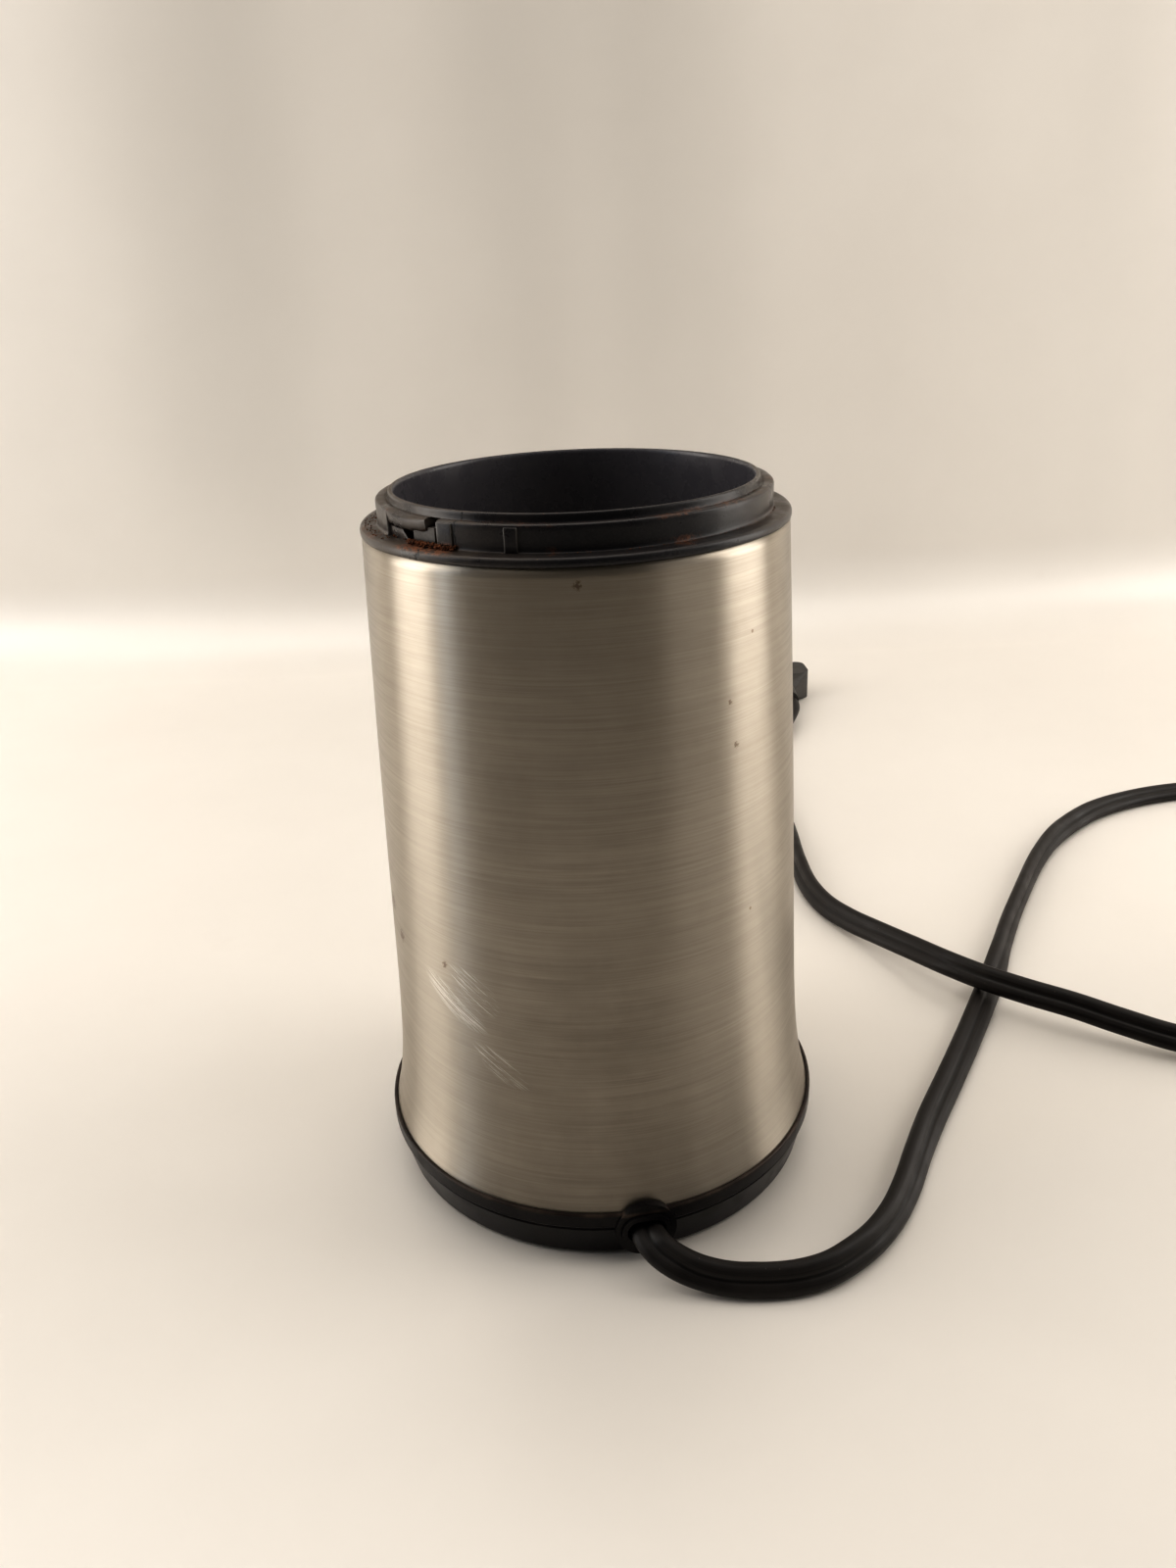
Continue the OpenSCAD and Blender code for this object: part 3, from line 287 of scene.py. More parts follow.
# ---------------------------------------------------------------- finishes

def brushed_sleeve():
    """Warm stainless sheet with belt lines, smudges, brown specks and two scratched patches."""
    f = Finish("brushed_sleeve", Anisotropic=0.88, Anisotropic_Rotation=0.25)
    tangent = f.add("ShaderNodeTangent", direction_type="RADIAL", axis="Z").outputs[0]
    place = use(f, "around", Point=f.point)
    belt = use(f, "brushing", Point=f.point, Line_Pitch=0.3, Line_Length=26.0)
    smudge = use(f, "patches", Point=f.point, Patch_Size=26.0, Cover=0.46, Edge=0.16, Seed=3.1)["Mask"]
    mottle = use(f, "patches", Point=f.point, Patch_Size=5.0, Cover=0.5, Edge=0.3, Seed=9.7)["Mask"]
    specks = use(f, "specks", Point=f.point, Spacing=9.0, Spot_Size=0.045)["Mask"]
    marks = None
    for at, high, size in ((260.6, 146.2, 0.95), (218.3, 65.8, 0.9), (300.6, 111.8, 0.8),
                           (298.9, 120.6, 0.7), (188.0, 70.0, 2.6), (195.5, 64.5, 1.8)):
        spot = use(f, "spot", Degrees=place["Degrees"], Height=place["Height"], Point=f.point,
                   At_Degrees=at, At_Height=high, Size=size)["Mask"]
        marks = spot if marks is None else f.calc("MAXIMUM", marks, spot)
    patches = [(220.3, 57.6, -29.0, 20.0, 5.6, 0.2, 0.5), (234.5, 45.4, -33.0, 15.0, 5.6, 0.22, 0.47),
               (227.5, 62.0, -30.0, 15.0, 8.0, 0.34, 0.45)]
    scratched = None
    for at, high, slope, length, width, pitch, cover in patches:
        patch = use(f, "scratches", Degrees=place["Degrees"], Height=place["Height"], At_Degrees=at,
                    At_Height=high, Slope=slope, Length=length, Width=width, Pitch=pitch,
                    Cover=cover)["Mask"]
        scratched = patch if scratched is None else f.calc("MAXIMUM", scratched, patch)
    colour = f.blend(belt["Lines"], rgb(0.325, 0.292, 0.25), rgb(0.385, 0.35, 0.3))
    colour = f.blend(f.times(smudge, 0.3), colour, rgb(0.3, 0.265, 0.22))
    colour = f.blend(f.times(mottle, 0.1), colour, rgb(0.5, 0.47, 0.42))
    colour = f.blend(f.times(specks, 0.6), colour, rgb(0.12, 0.07, 0.04))
    colour = f.blend(f.times(marks, 0.62), colour, rgb(0.09, 0.05, 0.03))
    colour = f.blend(f.times(scratched, 0.75), colour, rgb(0.82, 0.79, 0.74))
    rough = f.plus(f.smooth(belt["Lines"], 0.0, 1.0, 0.385, 0.335), f.times(smudge, 0.05))
    rough = f.plus(rough, f.times(scratched, 0.16))
    height = f.minus(belt["Height"], f.times(scratched, 0.5))
    f.drive(Base_Color=colour, Roughness=rough, Tangent=tangent, Normal=f.bump(height, 0.018, 0.35),
            Metallic=f.minus(1.0, f.times(scratched, 0.65)))
    return f.material


def plain_metal(name, low, high, rough, pitch, stain, bump):
    """Drawn, pressed or turned metal: fine grain and a little tarnish."""
    f = Finish(name, Metallic=1.0)
    tarnish = use(f, "patches", Point=f.point, Patch_Size=9.0, Cover=0.5, Edge=0.2, Seed=5.0)["Mask"]
    belt = use(f, "brushing", Point=f.point, Line_Pitch=pitch, Line_Length=7.0)
    colour = f.blend(belt["Lines"], low, high)
    dull = rgb(low[0] * 0.55, low[1] * 0.5, low[2] * 0.45)
    colour = f.blend(f.times(tarnish, stain), colour, dull)
    f.drive(Base_Color=colour, Roughness=f.smooth(tarnish, 0.0, 1.0, rough, rough + 0.18),
            Normal=f.bump(belt["Height"], bump, 0.5))
    return f.material


def plain_plastic(name, colour, rough, dust):
    """Moulded plastic or rubber: a fine skin, patchy gloss and a little dust."""
    f = Finish(name, Specular_IOR_Level=0.45)
    cloud = use(f, "patches", Point=f.point, Patch_Size=7.0, Cover=0.42, Edge=0.25, Seed=1.3)["Mask"]
    skin = f.grain(f.point, 2000.0, 3.0, 0.6)
    dust_colour = rgb(0.3, 0.27, 0.23)
    bright = rgb(*[min(1.0, c * 1.35 + 0.012) for c in colour[:3]])
    tone = f.blend(f.smooth(skin, 0.3, 0.7), colour, bright)
    tone = f.blend(f.times(cloud, dust * 0.5), tone, dust_colour)
    grit = use(f, "specks", Point=f.point, Spacing=1.6, Spot_Size=0.1)["Mask"]
    tone = f.blend(f.times(grit, dust), tone, dust_colour)
    f.drive(Base_Color=tone, Roughness=f.smooth(cloud, 0.0, 1.0, rough, rough + 0.2),
            Normal=f.bump(skin, 0.03, 0.5))
    return f.material


def housing_plastic():
    """The worn black moulding: glossy with a painted sheen inside the cup, dusty brown on ledges, cracked
    at the window.
    """
    f = Finish("worn_housing", Specular_IOR_Level=0.42)
    place = use(f, "around", Point=f.point)
    degrees, radius, height = place["Degrees"], place["Radius"], place["Height"]
    inside = f.smooth(radius, *CUP_WALL, 1.0, 0.0)
    facing = f.split(f.add("ShaderNodeNewGeometry").outputs["Normal"])["Z"]
    upward = f.smooth(facing, 0.35, 0.9)
    haze = use(f, "patches", Point=f.point, Patch_Size=6.0, Cover=0.52, Edge=0.4, Seed=2.0)["Mask"]
    crust = use(f, "patches", Point=f.point, Patch_Size=1.0, Cover=0.52, Edge=0.12, Seed=7.0)["Mask"]
    grit = use(f, "specks", Point=f.point, Spacing=1.1, Spot_Size=0.16)["Mask"]
    skin = f.grain(f.point, 2600.0, 3.0, 0.6)
    colour = f.blend(f.smooth(skin, 0.3, 0.7), rgb(0.016, 0.0155, 0.018), rgb(0.026, 0.025, 0.028))
    # painted sheen: inside the cup the colour is a lighter grey in soft patches
    colour = f.blend(inside, colour, f.blend(haze, rgb(0.075, 0.073, 0.084), rgb(0.088, 0.084, 0.092)))
    # dust on every ledge, browner and thicker towards the damaged window
    near_window = f.near(degrees, 200.0, 12.0, 62.0)
    far_side = f.near(degrees, 340.0, 8.0, 42.0, 0.8)
    near_window = f.calc("MAXIMUM", near_window, far_side)
    dusty = f.times(upward, f.smooth(haze, 0.0, 1.0, 0.25, 0.8))
    dusty = f.times(dusty, f.minus(1.0, f.times(inside, 0.8)))
    dusty = f.times(dusty, f.smooth(near_window, 0.0, 1.0, 0.3, 1.0))
    colour = f.blend(f.times(dusty, 0.5), colour, rgb(0.115, 0.085, 0.062))
    film = f.times(f.times(near_window, haze), f.minus(1.0, inside))
    colour = f.blend(f.times(film, 0.6), colour, rgb(0.115, 0.088, 0.066))
    # coffee residue where the collar's foot meets the flange, and under the rim
    outside = f.minus(1.0, inside)
    groove = f.near(height, 151.5, 0.3, 1.1)
    rare = use(f, "patches", Point=f.point, Patch_Size=8.0, Cover=0.36, Edge=0.1, Seed=11.0)["Mask"]
    corner = f.near(degrees, 219.5, 6.0, 11.0)
    residue = f.times(f.times(groove, corner), f.smooth(crust, 0.2, 0.8, 0.1, 1.0))
    ledge = f.near(height, 155.95, 0.1, 0.5)
    thin = f.times(f.times(crust, rare), 0.6)
    residue = f.calc("MAXIMUM", residue, f.times(f.calc("MAXIMUM", ledge, groove), thin))
    residue = f.times(residue, outside)
    rust = f.blend(f.smooth(skin, 0.35, 0.65), rgb(0.12, 0.045, 0.02), rgb(0.36, 0.15, 0.07))
    colour = f.blend(f.times(residue, 0.85), colour, rust)
    grit = f.times(f.times(grit, upward), f.times(outside, 0.5))
    colour = f.blend(grit, colour, rgb(0.2, 0.11, 0.065))
    # corners of the rib and the pad, painted light: a painted highlight along their edges
    painted_edge_highlight = None
    for at in (222.45, 227.4, 242.65, 246.05):
        corner_line = f.near(degrees, at, 0.1, 0.36)
        painted_edge_highlight = corner_line if painted_edge_highlight is None else f.calc("MAXIMUM", painted_edge_highlight, corner_line)
    painted_edge_highlight = f.times(painted_edge_highlight, f.calc("GREATER_THAN", radius, 39.72))
    painted_edge_highlight = f.times(painted_edge_highlight, f.times(f.calc("GREATER_THAN", height, 151.3), f.calc(
        "LESS_THAN", height, 155.85)))
    colour = f.blend(f.times(painted_edge_highlight, 0.75), colour, rgb(0.15, 0.14, 0.13))
    # hairline cracks: one down from the rim and one across the flange
    wander = f.times(f.minus(f.grain(f.point, 700.0, 3.0), 0.5), 3.2)

    def crack(at, low, high, width):
        line = f.near(f.plus(degrees, wander), at, width * 0.4, width)
        span = f.times(f.calc("GREATER_THAN", height, low), f.calc("LESS_THAN", height, high))
        return f.times(line, span)

    cracks = f.calc("MAXIMUM", crack(228.2, 151.2, 157.3, 0.34), crack(219.5, 148.5, 151.7, 0.4))
    cracks = f.times(cracks, outside)
    colour = f.blend(cracks, colour, rgb(0.002, 0.002, 0.002))
    rough = f.smooth(haze, 0.0, 1.0, 0.24, 0.38)
    rough = f.minus(rough, f.times(inside, 0.04))
    rough = f.calc("MAXIMUM", rough, f.times(f.calc("MAXIMUM", residue, dusty), 0.7))
    relief = f.plus(f.times(skin, 0.25), f.times(residue, 0.8))
    relief = f.minus(relief, f.times(cracks, 1.5))
    f.drive(Base_Color=colour, Roughness=rough, Normal=f.bump(relief, 0.12, 0.6))
    return f.material


def base_plastic():
    """Satin black base: worn bright along its top edge, brown dust by the steel, scuffs below."""
    f = Finish("satin_base", Specular_IOR_Level=0.2)
    place = use(f, "around", Point=f.point)
    height = place["Height"]
    skin = f.grain(f.point, 2200.0, 3.0, 0.6)
    haze = use(f, "patches", Point=f.point, Patch_Size=10.0, Cover=0.45, Edge=0.22, Seed=4.0)["Mask"]
    grit = use(f, "specks", Point=f.point, Spacing=1.7, Spot_Size=0.1)["Mask"]
    colour = f.blend(f.smooth(skin, 0.3, 0.7), rgb(0.0065, 0.0055, 0.0065), rgb(0.011, 0.0095, 0.0105))
    edge = f.near(height, 13.1, 0.15, 0.7)
    colour = f.blend(f.times(edge, f.smooth(haze, 0.0, 1.0, 0.12, 0.5)), colour, rgb(0.13, 0.09, 0.065))
    colour = f.blend(f.times(haze, 0.16), colour, rgb(0.1, 0.09, 0.08))
    colour = f.blend(f.times(grit, 0.25), colour, rgb(0.22, 0.18, 0.14))
    scuff = use(f, "scratches", Degrees=place["Degrees"], Height=height, At_Degrees=300.0, At_Height=6.0,
                Slope=8.0, Length=50.0, Width=7.0, Pitch=0.3, Cover=0.36)["Mask"]
    colour = f.blend(f.times(scuff, 0.25), colour, rgb(0.2, 0.19, 0.18))
    f.drive(Base_Color=colour, Roughness=f.smooth(haze, 0.0, 1.0, 0.3, 0.46),
            Normal=f.bump(skin, 0.05, 0.4))
    return f.material


def cord_vinyl():
    """Soft vinyl of the flat cord: extrusion lines along it, painted shade in the groove, brown patches
    along it.
    """
    f = Finish("cord_vinyl", Specular_IOR_Level=0.3)
    split = f.split(f.where["UV"])
    lines = f.grain(f.place(f.times(split["X"], 90.0), f.times(split["Y"], 2.0), 0.0), 1.0, 3.0, 0.6)
    haze = use(f, "patches", Point=f.point, Patch_Size=11.0, Cover=0.5, Edge=0.2, Seed=6.0)["Mask"]
    colour = f.blend(f.smooth(lines, 0.3, 0.7), rgb(0.012, 0.011, 0.011), rgb(0.023, 0.0205, 0.0195))
    colour = f.blend(f.times(haze, 0.25), colour, rgb(0.045, 0.036, 0.03))
    # painted shade: the groove between the cores is darker
    groove = f.near(f.calc("PINGPONG", split["X"], 0.5), 0.25, 0.0, 0.02)
    colour = f.blend(f.times(groove, 0.5), colour, rgb(0.006, 0.006, 0.006))
    grit = use(f, "specks", Point=f.point, Spacing=1.3, Spot_Size=0.1)["Mask"]
    colour = f.blend(f.times(grit, 0.3), colour, rgb(0.2, 0.17, 0.14))
    f.drive(Base_Color=colour, Roughness=f.smooth(haze, 0.0, 1.0, 0.36, 0.52),
            Normal=f.bump(lines, 0.05, 0.5))
    return f.material


def crumb_finish():
    """Dull brown of dry coffee crumbs."""
    f = Finish("coffee_crumbs", Specular_IOR_Level=0.3)
    tone = f.grain(f.point, 1500.0, 3.0, 0.7)
    colour = f.blend(f.smooth(tone, 0.35, 0.65), rgb(0.05, 0.022, 0.012), rgb(0.3, 0.13, 0.065))
    f.drive(Base_Color=colour, Roughness=f.smooth(tone, 0.3, 0.7, 0.7, 0.95), Normal=f.bump(tone, 0.1, 0.8))
    return f.material


def paper_floor():
    """Pale warm sweep with soft upright shading on its back, faint stains and small specks."""
    f = Finish("paper_sweep", Specular_IOR_Level=1.0, IOR=1.6, Roughness=0.38)
    split = f.split(f.point)
    across = f.minus(f.times(split["X"], 5.0), f.times(split["Y"], 0.8))
    fold_shade = f.grain(f.place(across, f.times(split["Z"], 0.5), 2.4), 1.0, 2.0, 0.4)
    up = f.smooth(split["Z"], 0.0, 0.12)
    cloud = use(f, "patches", Point=f.point, Patch_Size=220.0, Cover=0.5, Edge=0.35, Seed=8.0)["Mask"]
    stain = use(f, "patches", Point=f.point, Patch_Size=48.0, Cover=0.24, Edge=0.08, Seed=4.4)["Mask"]
    mark = use(f, "specks", Point=f.point, Spacing=62.0, Spot_Size=0.014)["Mask"]
    colour = f.blend(cloud, rgb(0.76, 0.722, 0.672), rgb(0.82, 0.785, 0.735))
    # painted shade: soft upright darker bands on the back of the sweep, lighter towards its left edge
    shade = f.times(up, f.smooth(fold_shade, 0.36, 0.64, 0.42, 0.0))
    shade = f.times(shade, f.smooth(across, -1.35, -0.75, 0.1, 1.0))
    colour = f.blend(shade, colour, rgb(0.36, 0.34, 0.31))
    colour = f.blend(f.times(stain, 0.1), colour, rgb(0.5, 0.4, 0.33))
    colour = f.blend(f.times(mark, 0.45), colour, rgb(0.3, 0.2, 0.15))
    f.drive(Base_Color=colour)
    # the paper is one-sided, so the turned-up end doesn't hide the object from behind
    clear = f.add("ShaderNodeBsdfTransparent").outputs[0]
    back = f.add("ShaderNodeNewGeometry").outputs["Backfacing"]
    one_sided = f.add("ShaderNodeMixShader", {0: back, 1: f.shader.outputs[0], 2: clear}).outputs[0]
    output = [n for n in f.tree.nodes if n.bl_idname == "ShaderNodeOutputMaterial"][0]
    f.plug(one_sided, output.inputs["Surface"])
    return f.material


# ---------------------------------------------------------------- mesh helpers

def mesh_object(name, verts, faces, material=None, smooth=True):
    mesh = bpy.data.meshes.new(name)
    mesh.from_pydata([tuple(v) for v in verts], [], faces)
    mesh.validate()
    if material:
        mesh.materials.append(material)
    mesh.polygons.foreach_set("use_smooth", [smooth] * len(mesh.polygons))
    piece = bpy.data.objects.new(name, mesh)
    bpy.context.scene.collection.objects.link(piece)
    return piece


def outward(piece):
    """Makes every face of a closed piece point out, after its doubles are merged."""
    bm = bmesh.new()
    bm.from_mesh(piece.data)
    bmesh.ops.remove_doubles(bm, verts=bm.verts, dist=1e-7)
    bmesh.ops.recalc_face_normals(bm, faces=bm.faces)
    bm.to_mesh(piece.data)
    bm.free()
    return piece


def sharp_edges(piece, degrees):
    """Smooth shading that stays crisp over edges steeper than the angle."""
    piece.data.polygons.foreach_set("use_smooth", [True] * len(piece.data.polygons))
    piece.data.set_sharp_from_angle(angle=math.radians(degrees))
    return piece


def bevel(piece, width_mm, segments=3, degrees=35):
    """Rounds the sharp edges of a piece with a modifier."""
    edge = piece.modifiers.new("edge", "BEVEL")
    edge.width = width_mm * MM
    edge.segments = segments
    edge.limit_method = "ANGLE"
    edge.angle_limit = math.radians(degrees)
    return piece


def turned(name, outline, steps, material, shift=None):
    """A closed ring turned about Z from an outline in millimetres (radius, height).

    shift may move an outline point at each angle: shift(index, degrees) gives its new (radius, height).
    """
    verts, faces = [], []
    n = len(outline)
    for degrees in steps:
        a = math.radians(degrees)
        for i, point in enumerate(outline):
            r, z = shift(i, degrees) if shift else point
            verts.append((r * math.cos(a) * MM, r * math.sin(a) * MM, z * MM))
    rings = len(steps)
    for s in range(rings):
        t = (s + 1) % rings
        for i in range(n):
            j = (i + 1) % n
            faces.append((s * n + i, t * n + i, t * n + j, s * n + j))
    return outward(mesh_object(name, verts, faces, material))


def even_steps(count):
    return [360 * i / count for i in range(count)]


def cut(piece, cutter):
    """Takes the cutter's shape out of the piece for good."""
    tool = piece.modifiers.new("cut", "BOOLEAN")
    tool.object = cutter
    tool.operation = "DIFFERENCE"
    tool.solver = "EXACT"
    bake(piece)
    bpy.data.objects.remove(cutter)
    return piece


def bake(piece):
    """Turns a piece with modifiers into a plain mesh."""
    bpy.context.view_layer.update()
    shape = bpy.data.meshes.new_from_object(piece.evaluated_get(bpy.context.evaluated_depsgraph_get()))
    piece.modifiers.clear()
    piece.data = shape
    return piece


def box_at(name, low, high, turn_degrees=0):
    """A box between two corners in millimetres, turned about Z."""
    corners = [Vector((x, y, z)) * MM for x in (low[0], high[0]) for y in (low[1], high[1])
               for z in (low[2], high[2])]
    turn = Matrix.Rotation(math.radians(turn_degrees), 3, "Z")
    faces = [(0, 1, 3, 2), (4, 6, 7, 5), (0, 4, 5, 1), (2, 3, 7, 6), (0, 2, 6, 4), (1, 5, 7, 3)]
    return outward(mesh_object(name, [turn @ c for c in corners], faces, smooth=False))


def cad_copy(name, node, keep=None):
    """A merged copy of a CAD node's mesh; keep(centre) picks the faces that stay."""
    mesh = NODES[node].data.copy()
    mesh.materials.clear()
    piece = bpy.data.objects.new(name, mesh)
    bpy.context.scene.collection.objects.link(piece)
    bm = bmesh.new()
    bm.from_mesh(mesh)
    bmesh.ops.remove_doubles(bm, verts=bm.verts, dist=1e-6)
    if keep:
        gone = [face for face in bm.faces if not keep(face.calc_center_median() / MM)]
        bmesh.ops.delete(bm, geom=gone, context="FACES")
    bm.to_mesh(mesh)
    bm.free()
    return piece


# ---------------------------------------------------------------- cord

CORD_ROUTE = [
    (0, -33, 8), (0, -42, 8), (0, -50, 8), (1, -54.4, 7.3), (3.9, -58, 5.8), (8.6, -61.2, 4),
    (14.5, -63.6, 2.6), (21, -65.2, 2), (28.5, -66, 1.9), (35.5, -65.2, 1.9), (42, -62.6, 1.9),
    (48.5, -58.8, 1.9), (55, -53.2, 1.9), (61.5, -45.6, 1.9), (68.5, -36, 1.9), (77, -25, 1.9),
    (87.5, -12.5, 1.9), (98, 0.2, 1.9), (109, 13.9, 1.9), (121.5, 30, 1.9), (137.5, 52, 1.9),
    (152.5, 71, 1.9), (167.5, 89, 1.9), (182, 103.5, 1.9), (196, 113.8, 1.9), (210.5, 121.5, 1.9),
    (228, 126.5, 1.9), (248, 128, 1.9), (266, 126, 1.9), (282, 119, 1.9), (294, 106.5, 1.9),
    (300, 90, 1.9), (299, 71, 1.9), (292, 50, 1.9), (280, 28, 1.9), (264, 8, 1.9), (245, -10, 1.9),
    (225, -22, 1.9), (204, -28, 1.9), (184, -27, 1.9), (166, -21, 2.4), (150.4, -12.8, 3.6),
    (139.5, -5, 5.2), (130, 3, 6.6), (120.8, 11.2, 7.1), (112.6, 20.6, 7.1), (106.2, 31.5, 6.4),
    (101.5, 43, 5), (96.8, 54.5, 3.5), (91.6, 66, 2.4), (88, 77.5, 1.9), (87, 91, 1.9), (89, 107, 1.9),
    (92.2, 124, 1.9), (95.2, 142, 1.9), (98.5, 160, 1.9), (102.5, 178, 1.9), (107.5, 195.5, 1.9),
    (113.5, 211, 2.1), (120.5, 224, 3.2), (127.7, 234.5, 4.7), (133, 243, 6), (135.2, 249, 6.5),
    (135.7, 254, 6.5)]
CORD_W, CORD_T = 7.2, 3.6
# how far the cord leans from flat at some lengths along it, in millimetres and degrees
CORD_LEAN = [(0, 0), (15, 0), (25, 42), (34, 60), (50, 60), (75, 58), (100, 44), (130, 30), (160, 24),
             (182, 22), (208, 60), (235, 70), (275, 66), (300, 44), (340, 24), (400, 8), (540, 0),
             (610, -30), (660, -46), (730, -46), (760, -60), (800, -64), (840, -20), (900, 0), (1100, 0)]
# a leaning cord stands higher; the lift starts past the outlet and is whole so much further on
LIFT_START, LIFT_RUN = 24, 20


def spline(points, per_span):
    """A smooth line through the points (Catmull-Rom), with so many steps for each span."""
    line = []
    for i in range(len(points) - 1):
        p0, p1 = points[max(i - 1, 0)], points[i]
        p2, p3 = points[i + 1], points[min(i + 2, len(points) - 1)]
        for k in range(per_span):
            t = k / per_span
            line.append(0.5 * (2 * p1 + (p2 - p0) * t + (2 * p0 - 5 * p1 + 4 * p2 - p3) * t * t
                               + (3 * p1 - p0 - 3 * p2 + p3) * t ** 3))
    return line + [points[-1]]


def table_value(table, x):
    """Reads a table of (x, value) pairs with smooth steps between them."""
    for (x0, v0), (x1, v1) in zip(table, table[1:]):
        if x <= x1:
            t = max(0.0, (x - x0) / (x1 - x0))
            return v0 + (v1 - v0) * t * t * (3 - 2 * t)
    return table[-1][1]


def cord_section(count=40):
    """Outline of a flat two-core cord: round edges, a groove between the cores, faint ribs on them."""
    half, radius = CORD_W / 2, CORD_T / 2
    middle = half - radius
    outline = []
    for k in range(count):
        a = TURN * k / count
        x = half * math.cos(a)
        off = min(abs(abs(x) - middle), radius) if abs(x) > middle else 0
        y = math.sqrt(max(radius * radius - off * off, 0))
        y -= 0.5 * math.exp(-(x / 0.42) ** 2)
        if abs(x) < half - 0.4:
            y -= 0.07 * (0.5 + 0.5 * math.cos(TURN * (abs(x) - middle) / 0.9))
        outline.append((x, y if math.sin(a) >= 0 else -y))
    return outline


def make_cord(material):
    """The cord as one closed sweep, with UVs in turns round it and tenths of a metre along it."""
    points = [Vector(p) for p in CORD_ROUTE]
    line = spline(points, 8)
    section = cord_section()
    lengths, total = [], 0.0
    for i, p in enumerate(line):
        total += (p - line[i - 1]).length if i else 0
        lengths.append(total)
    verts, faces, centres = [], [], []
    n = len(section)
    for i, p in enumerate(line):
        along = (line[min(i + 1, len(line) - 1)] - line[max(i - 1, 0)]).normalized()
        side = along.cross(Vector((0, 0, 1))).normalized()
        top = side.cross(along)
        lean = math.radians(table_value(CORD_LEAN, lengths[i]))
        side, top = (side * math.cos(lean) - top * math.sin(lean),
                     side * math.sin(lean) + top * math.cos(lean))
        on_floor = min(max((lengths[i] - LIFT_START) / LIFT_RUN, 0), 1)
        centre = p + Vector((0, 0, on_floor * (CORD_W - CORD_T) / 2 * abs(math.sin(lean))))
        centres.append(centre * MM)
        verts += [(centre + side * x + top * y) * MM for x, y in section]
    for i in range(len(line) - 1):
        for k in range(n):
            m = (k + 1) % n
            faces.append((i * n + k, i * n + m, (i + 1) * n + m, (i + 1) * n + k))
    faces.append(tuple(reversed(range(n))))
    last = (len(line) - 1) * n
    faces.append(tuple(last + k for k in range(n)))
    cord = mesh_object("cord_flex", verts, faces, material)
    uv = cord.data.uv_layers.new(name="UVMap").data
    for face in cord.data.polygons:
        ks = [cord.data.loops[l].vertex_index % n for l in face.loop_indices]
        wrap = max(ks) - min(ks) > n / 2
        for l, k in zip(face.loop_indices, ks):
            ring = cord.data.loops[l].vertex_index // n
            u = (k + n if wrap and k < n / 2 else k) / n
            uv[l].uv = (u, lengths[ring] / 100)
    outward(cord)
    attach(cord, "base")
    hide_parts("cord")
    return cord, centres, total


make_camera()
CORD, CORD_LINE, CORD_LENGTH = make_cord(cord_vinyl())


# ---------------------------------------------------------------- sleeve

SLEEVE = {"Bottom": 12.62, "Height": 136.78, "Top Radius": 43.05, "Taper": 4.1, "Bulge": 0.45, "Flare": 3.2,
          "Rings": 90, "Around": 240}


def sleeve_tree(material):
    """A wall that widens steadily, bows out a little and flares at its foot."""
    g, given, out = new_group("sleeve_wall", "GeometryNodeTree", {
        "Bottom": 0.0, "Height": 100.0, "Top Radius": 40.0, "Taper": 0.0, "Bulge": 0.0, "Flare": 0.0,
        "Rings": 60, "Around": 120}, {"Geometry": "Geometry"})
    tube = g.add("GeometryNodeMeshCylinder", {
        "Vertices": given["Around"], "Side Segments": given["Rings"], "Radius": 1.0, "Depth": 1.0},
        fill_type="NONE").outputs["Mesh"]
    split = g.split(g.add("GeometryNodeInputPosition").outputs[0])
    share = g.calc("POWER", g.plus(split["Z"], 0.5), 1.4)      # rings gather towards the foot
    down = g.minus(1.0, share)
    bow = g.times(g.times(down, share), g.times(given["Bulge"], 4.0))
    radius = g.plus(given["Top Radius"], g.times(given["Taper"], down))
    foot = g.times(given["Flare"], g.calc("POWER", down, 12.0))
    radius = g.plus(radius, g.plus(bow, foot))
    radius = g.times(radius, MM)
    height = g.times(g.plus(given["Bottom"], g.times(share, given["Height"])), MM)
    place = g.add("ShaderNodeCombineXYZ", {
        "X": g.times(split["X"], radius), "Y": g.times(split["Y"], radius),
        "Z": height}).outputs[0]
    wall = g.add("GeometryNodeSetPosition", {"Geometry": tube, "Position": place}).outputs[0]
    wall = g.add("GeometryNodeSetShadeSmooth", {"Geometry": wall}).outputs[0]
    wall = g.add("GeometryNodeRealizeInstances", {"Geometry": wall}).outputs[0]
    wall = g.add("GeometryNodeSetMaterial", {"Geometry": wall, "Material": material}).outputs[0]
    g.plug(wall, out["Geometry"])
    return g.tree


def grow(name, tree, **values):
    """Runs a geometry tree with the given inputs and returns the plain mesh it makes."""
    piece = mesh_object(name, [(0, 0, 0)], [])
    modifier = piece.modifiers.new("grow", "NODES")
    modifier.node_group = tree
    for item in tree.interface.items_tree:
        key = item.name.replace(" ", "_")
        if item.in_out == "INPUT" and key in values:
            modifier[item.identifier] = values[key]
    return bake(piece)


def make_sleeve():
    sleeve = grow("sleeve_skin", sleeve_tree(brushed_sleeve()),
                  **{key.replace(" ", "_"): value for key, value in SLEEVE.items()})
    wall = sleeve.modifiers.new("wall", "SOLIDIFY")
    wall.thickness = 0.6 * MM
    wall.offset = -1
    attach(sleeve, "base")
    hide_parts("steel_sleeve")


make_sleeve()


# ---------------------------------------------------------------- top housing

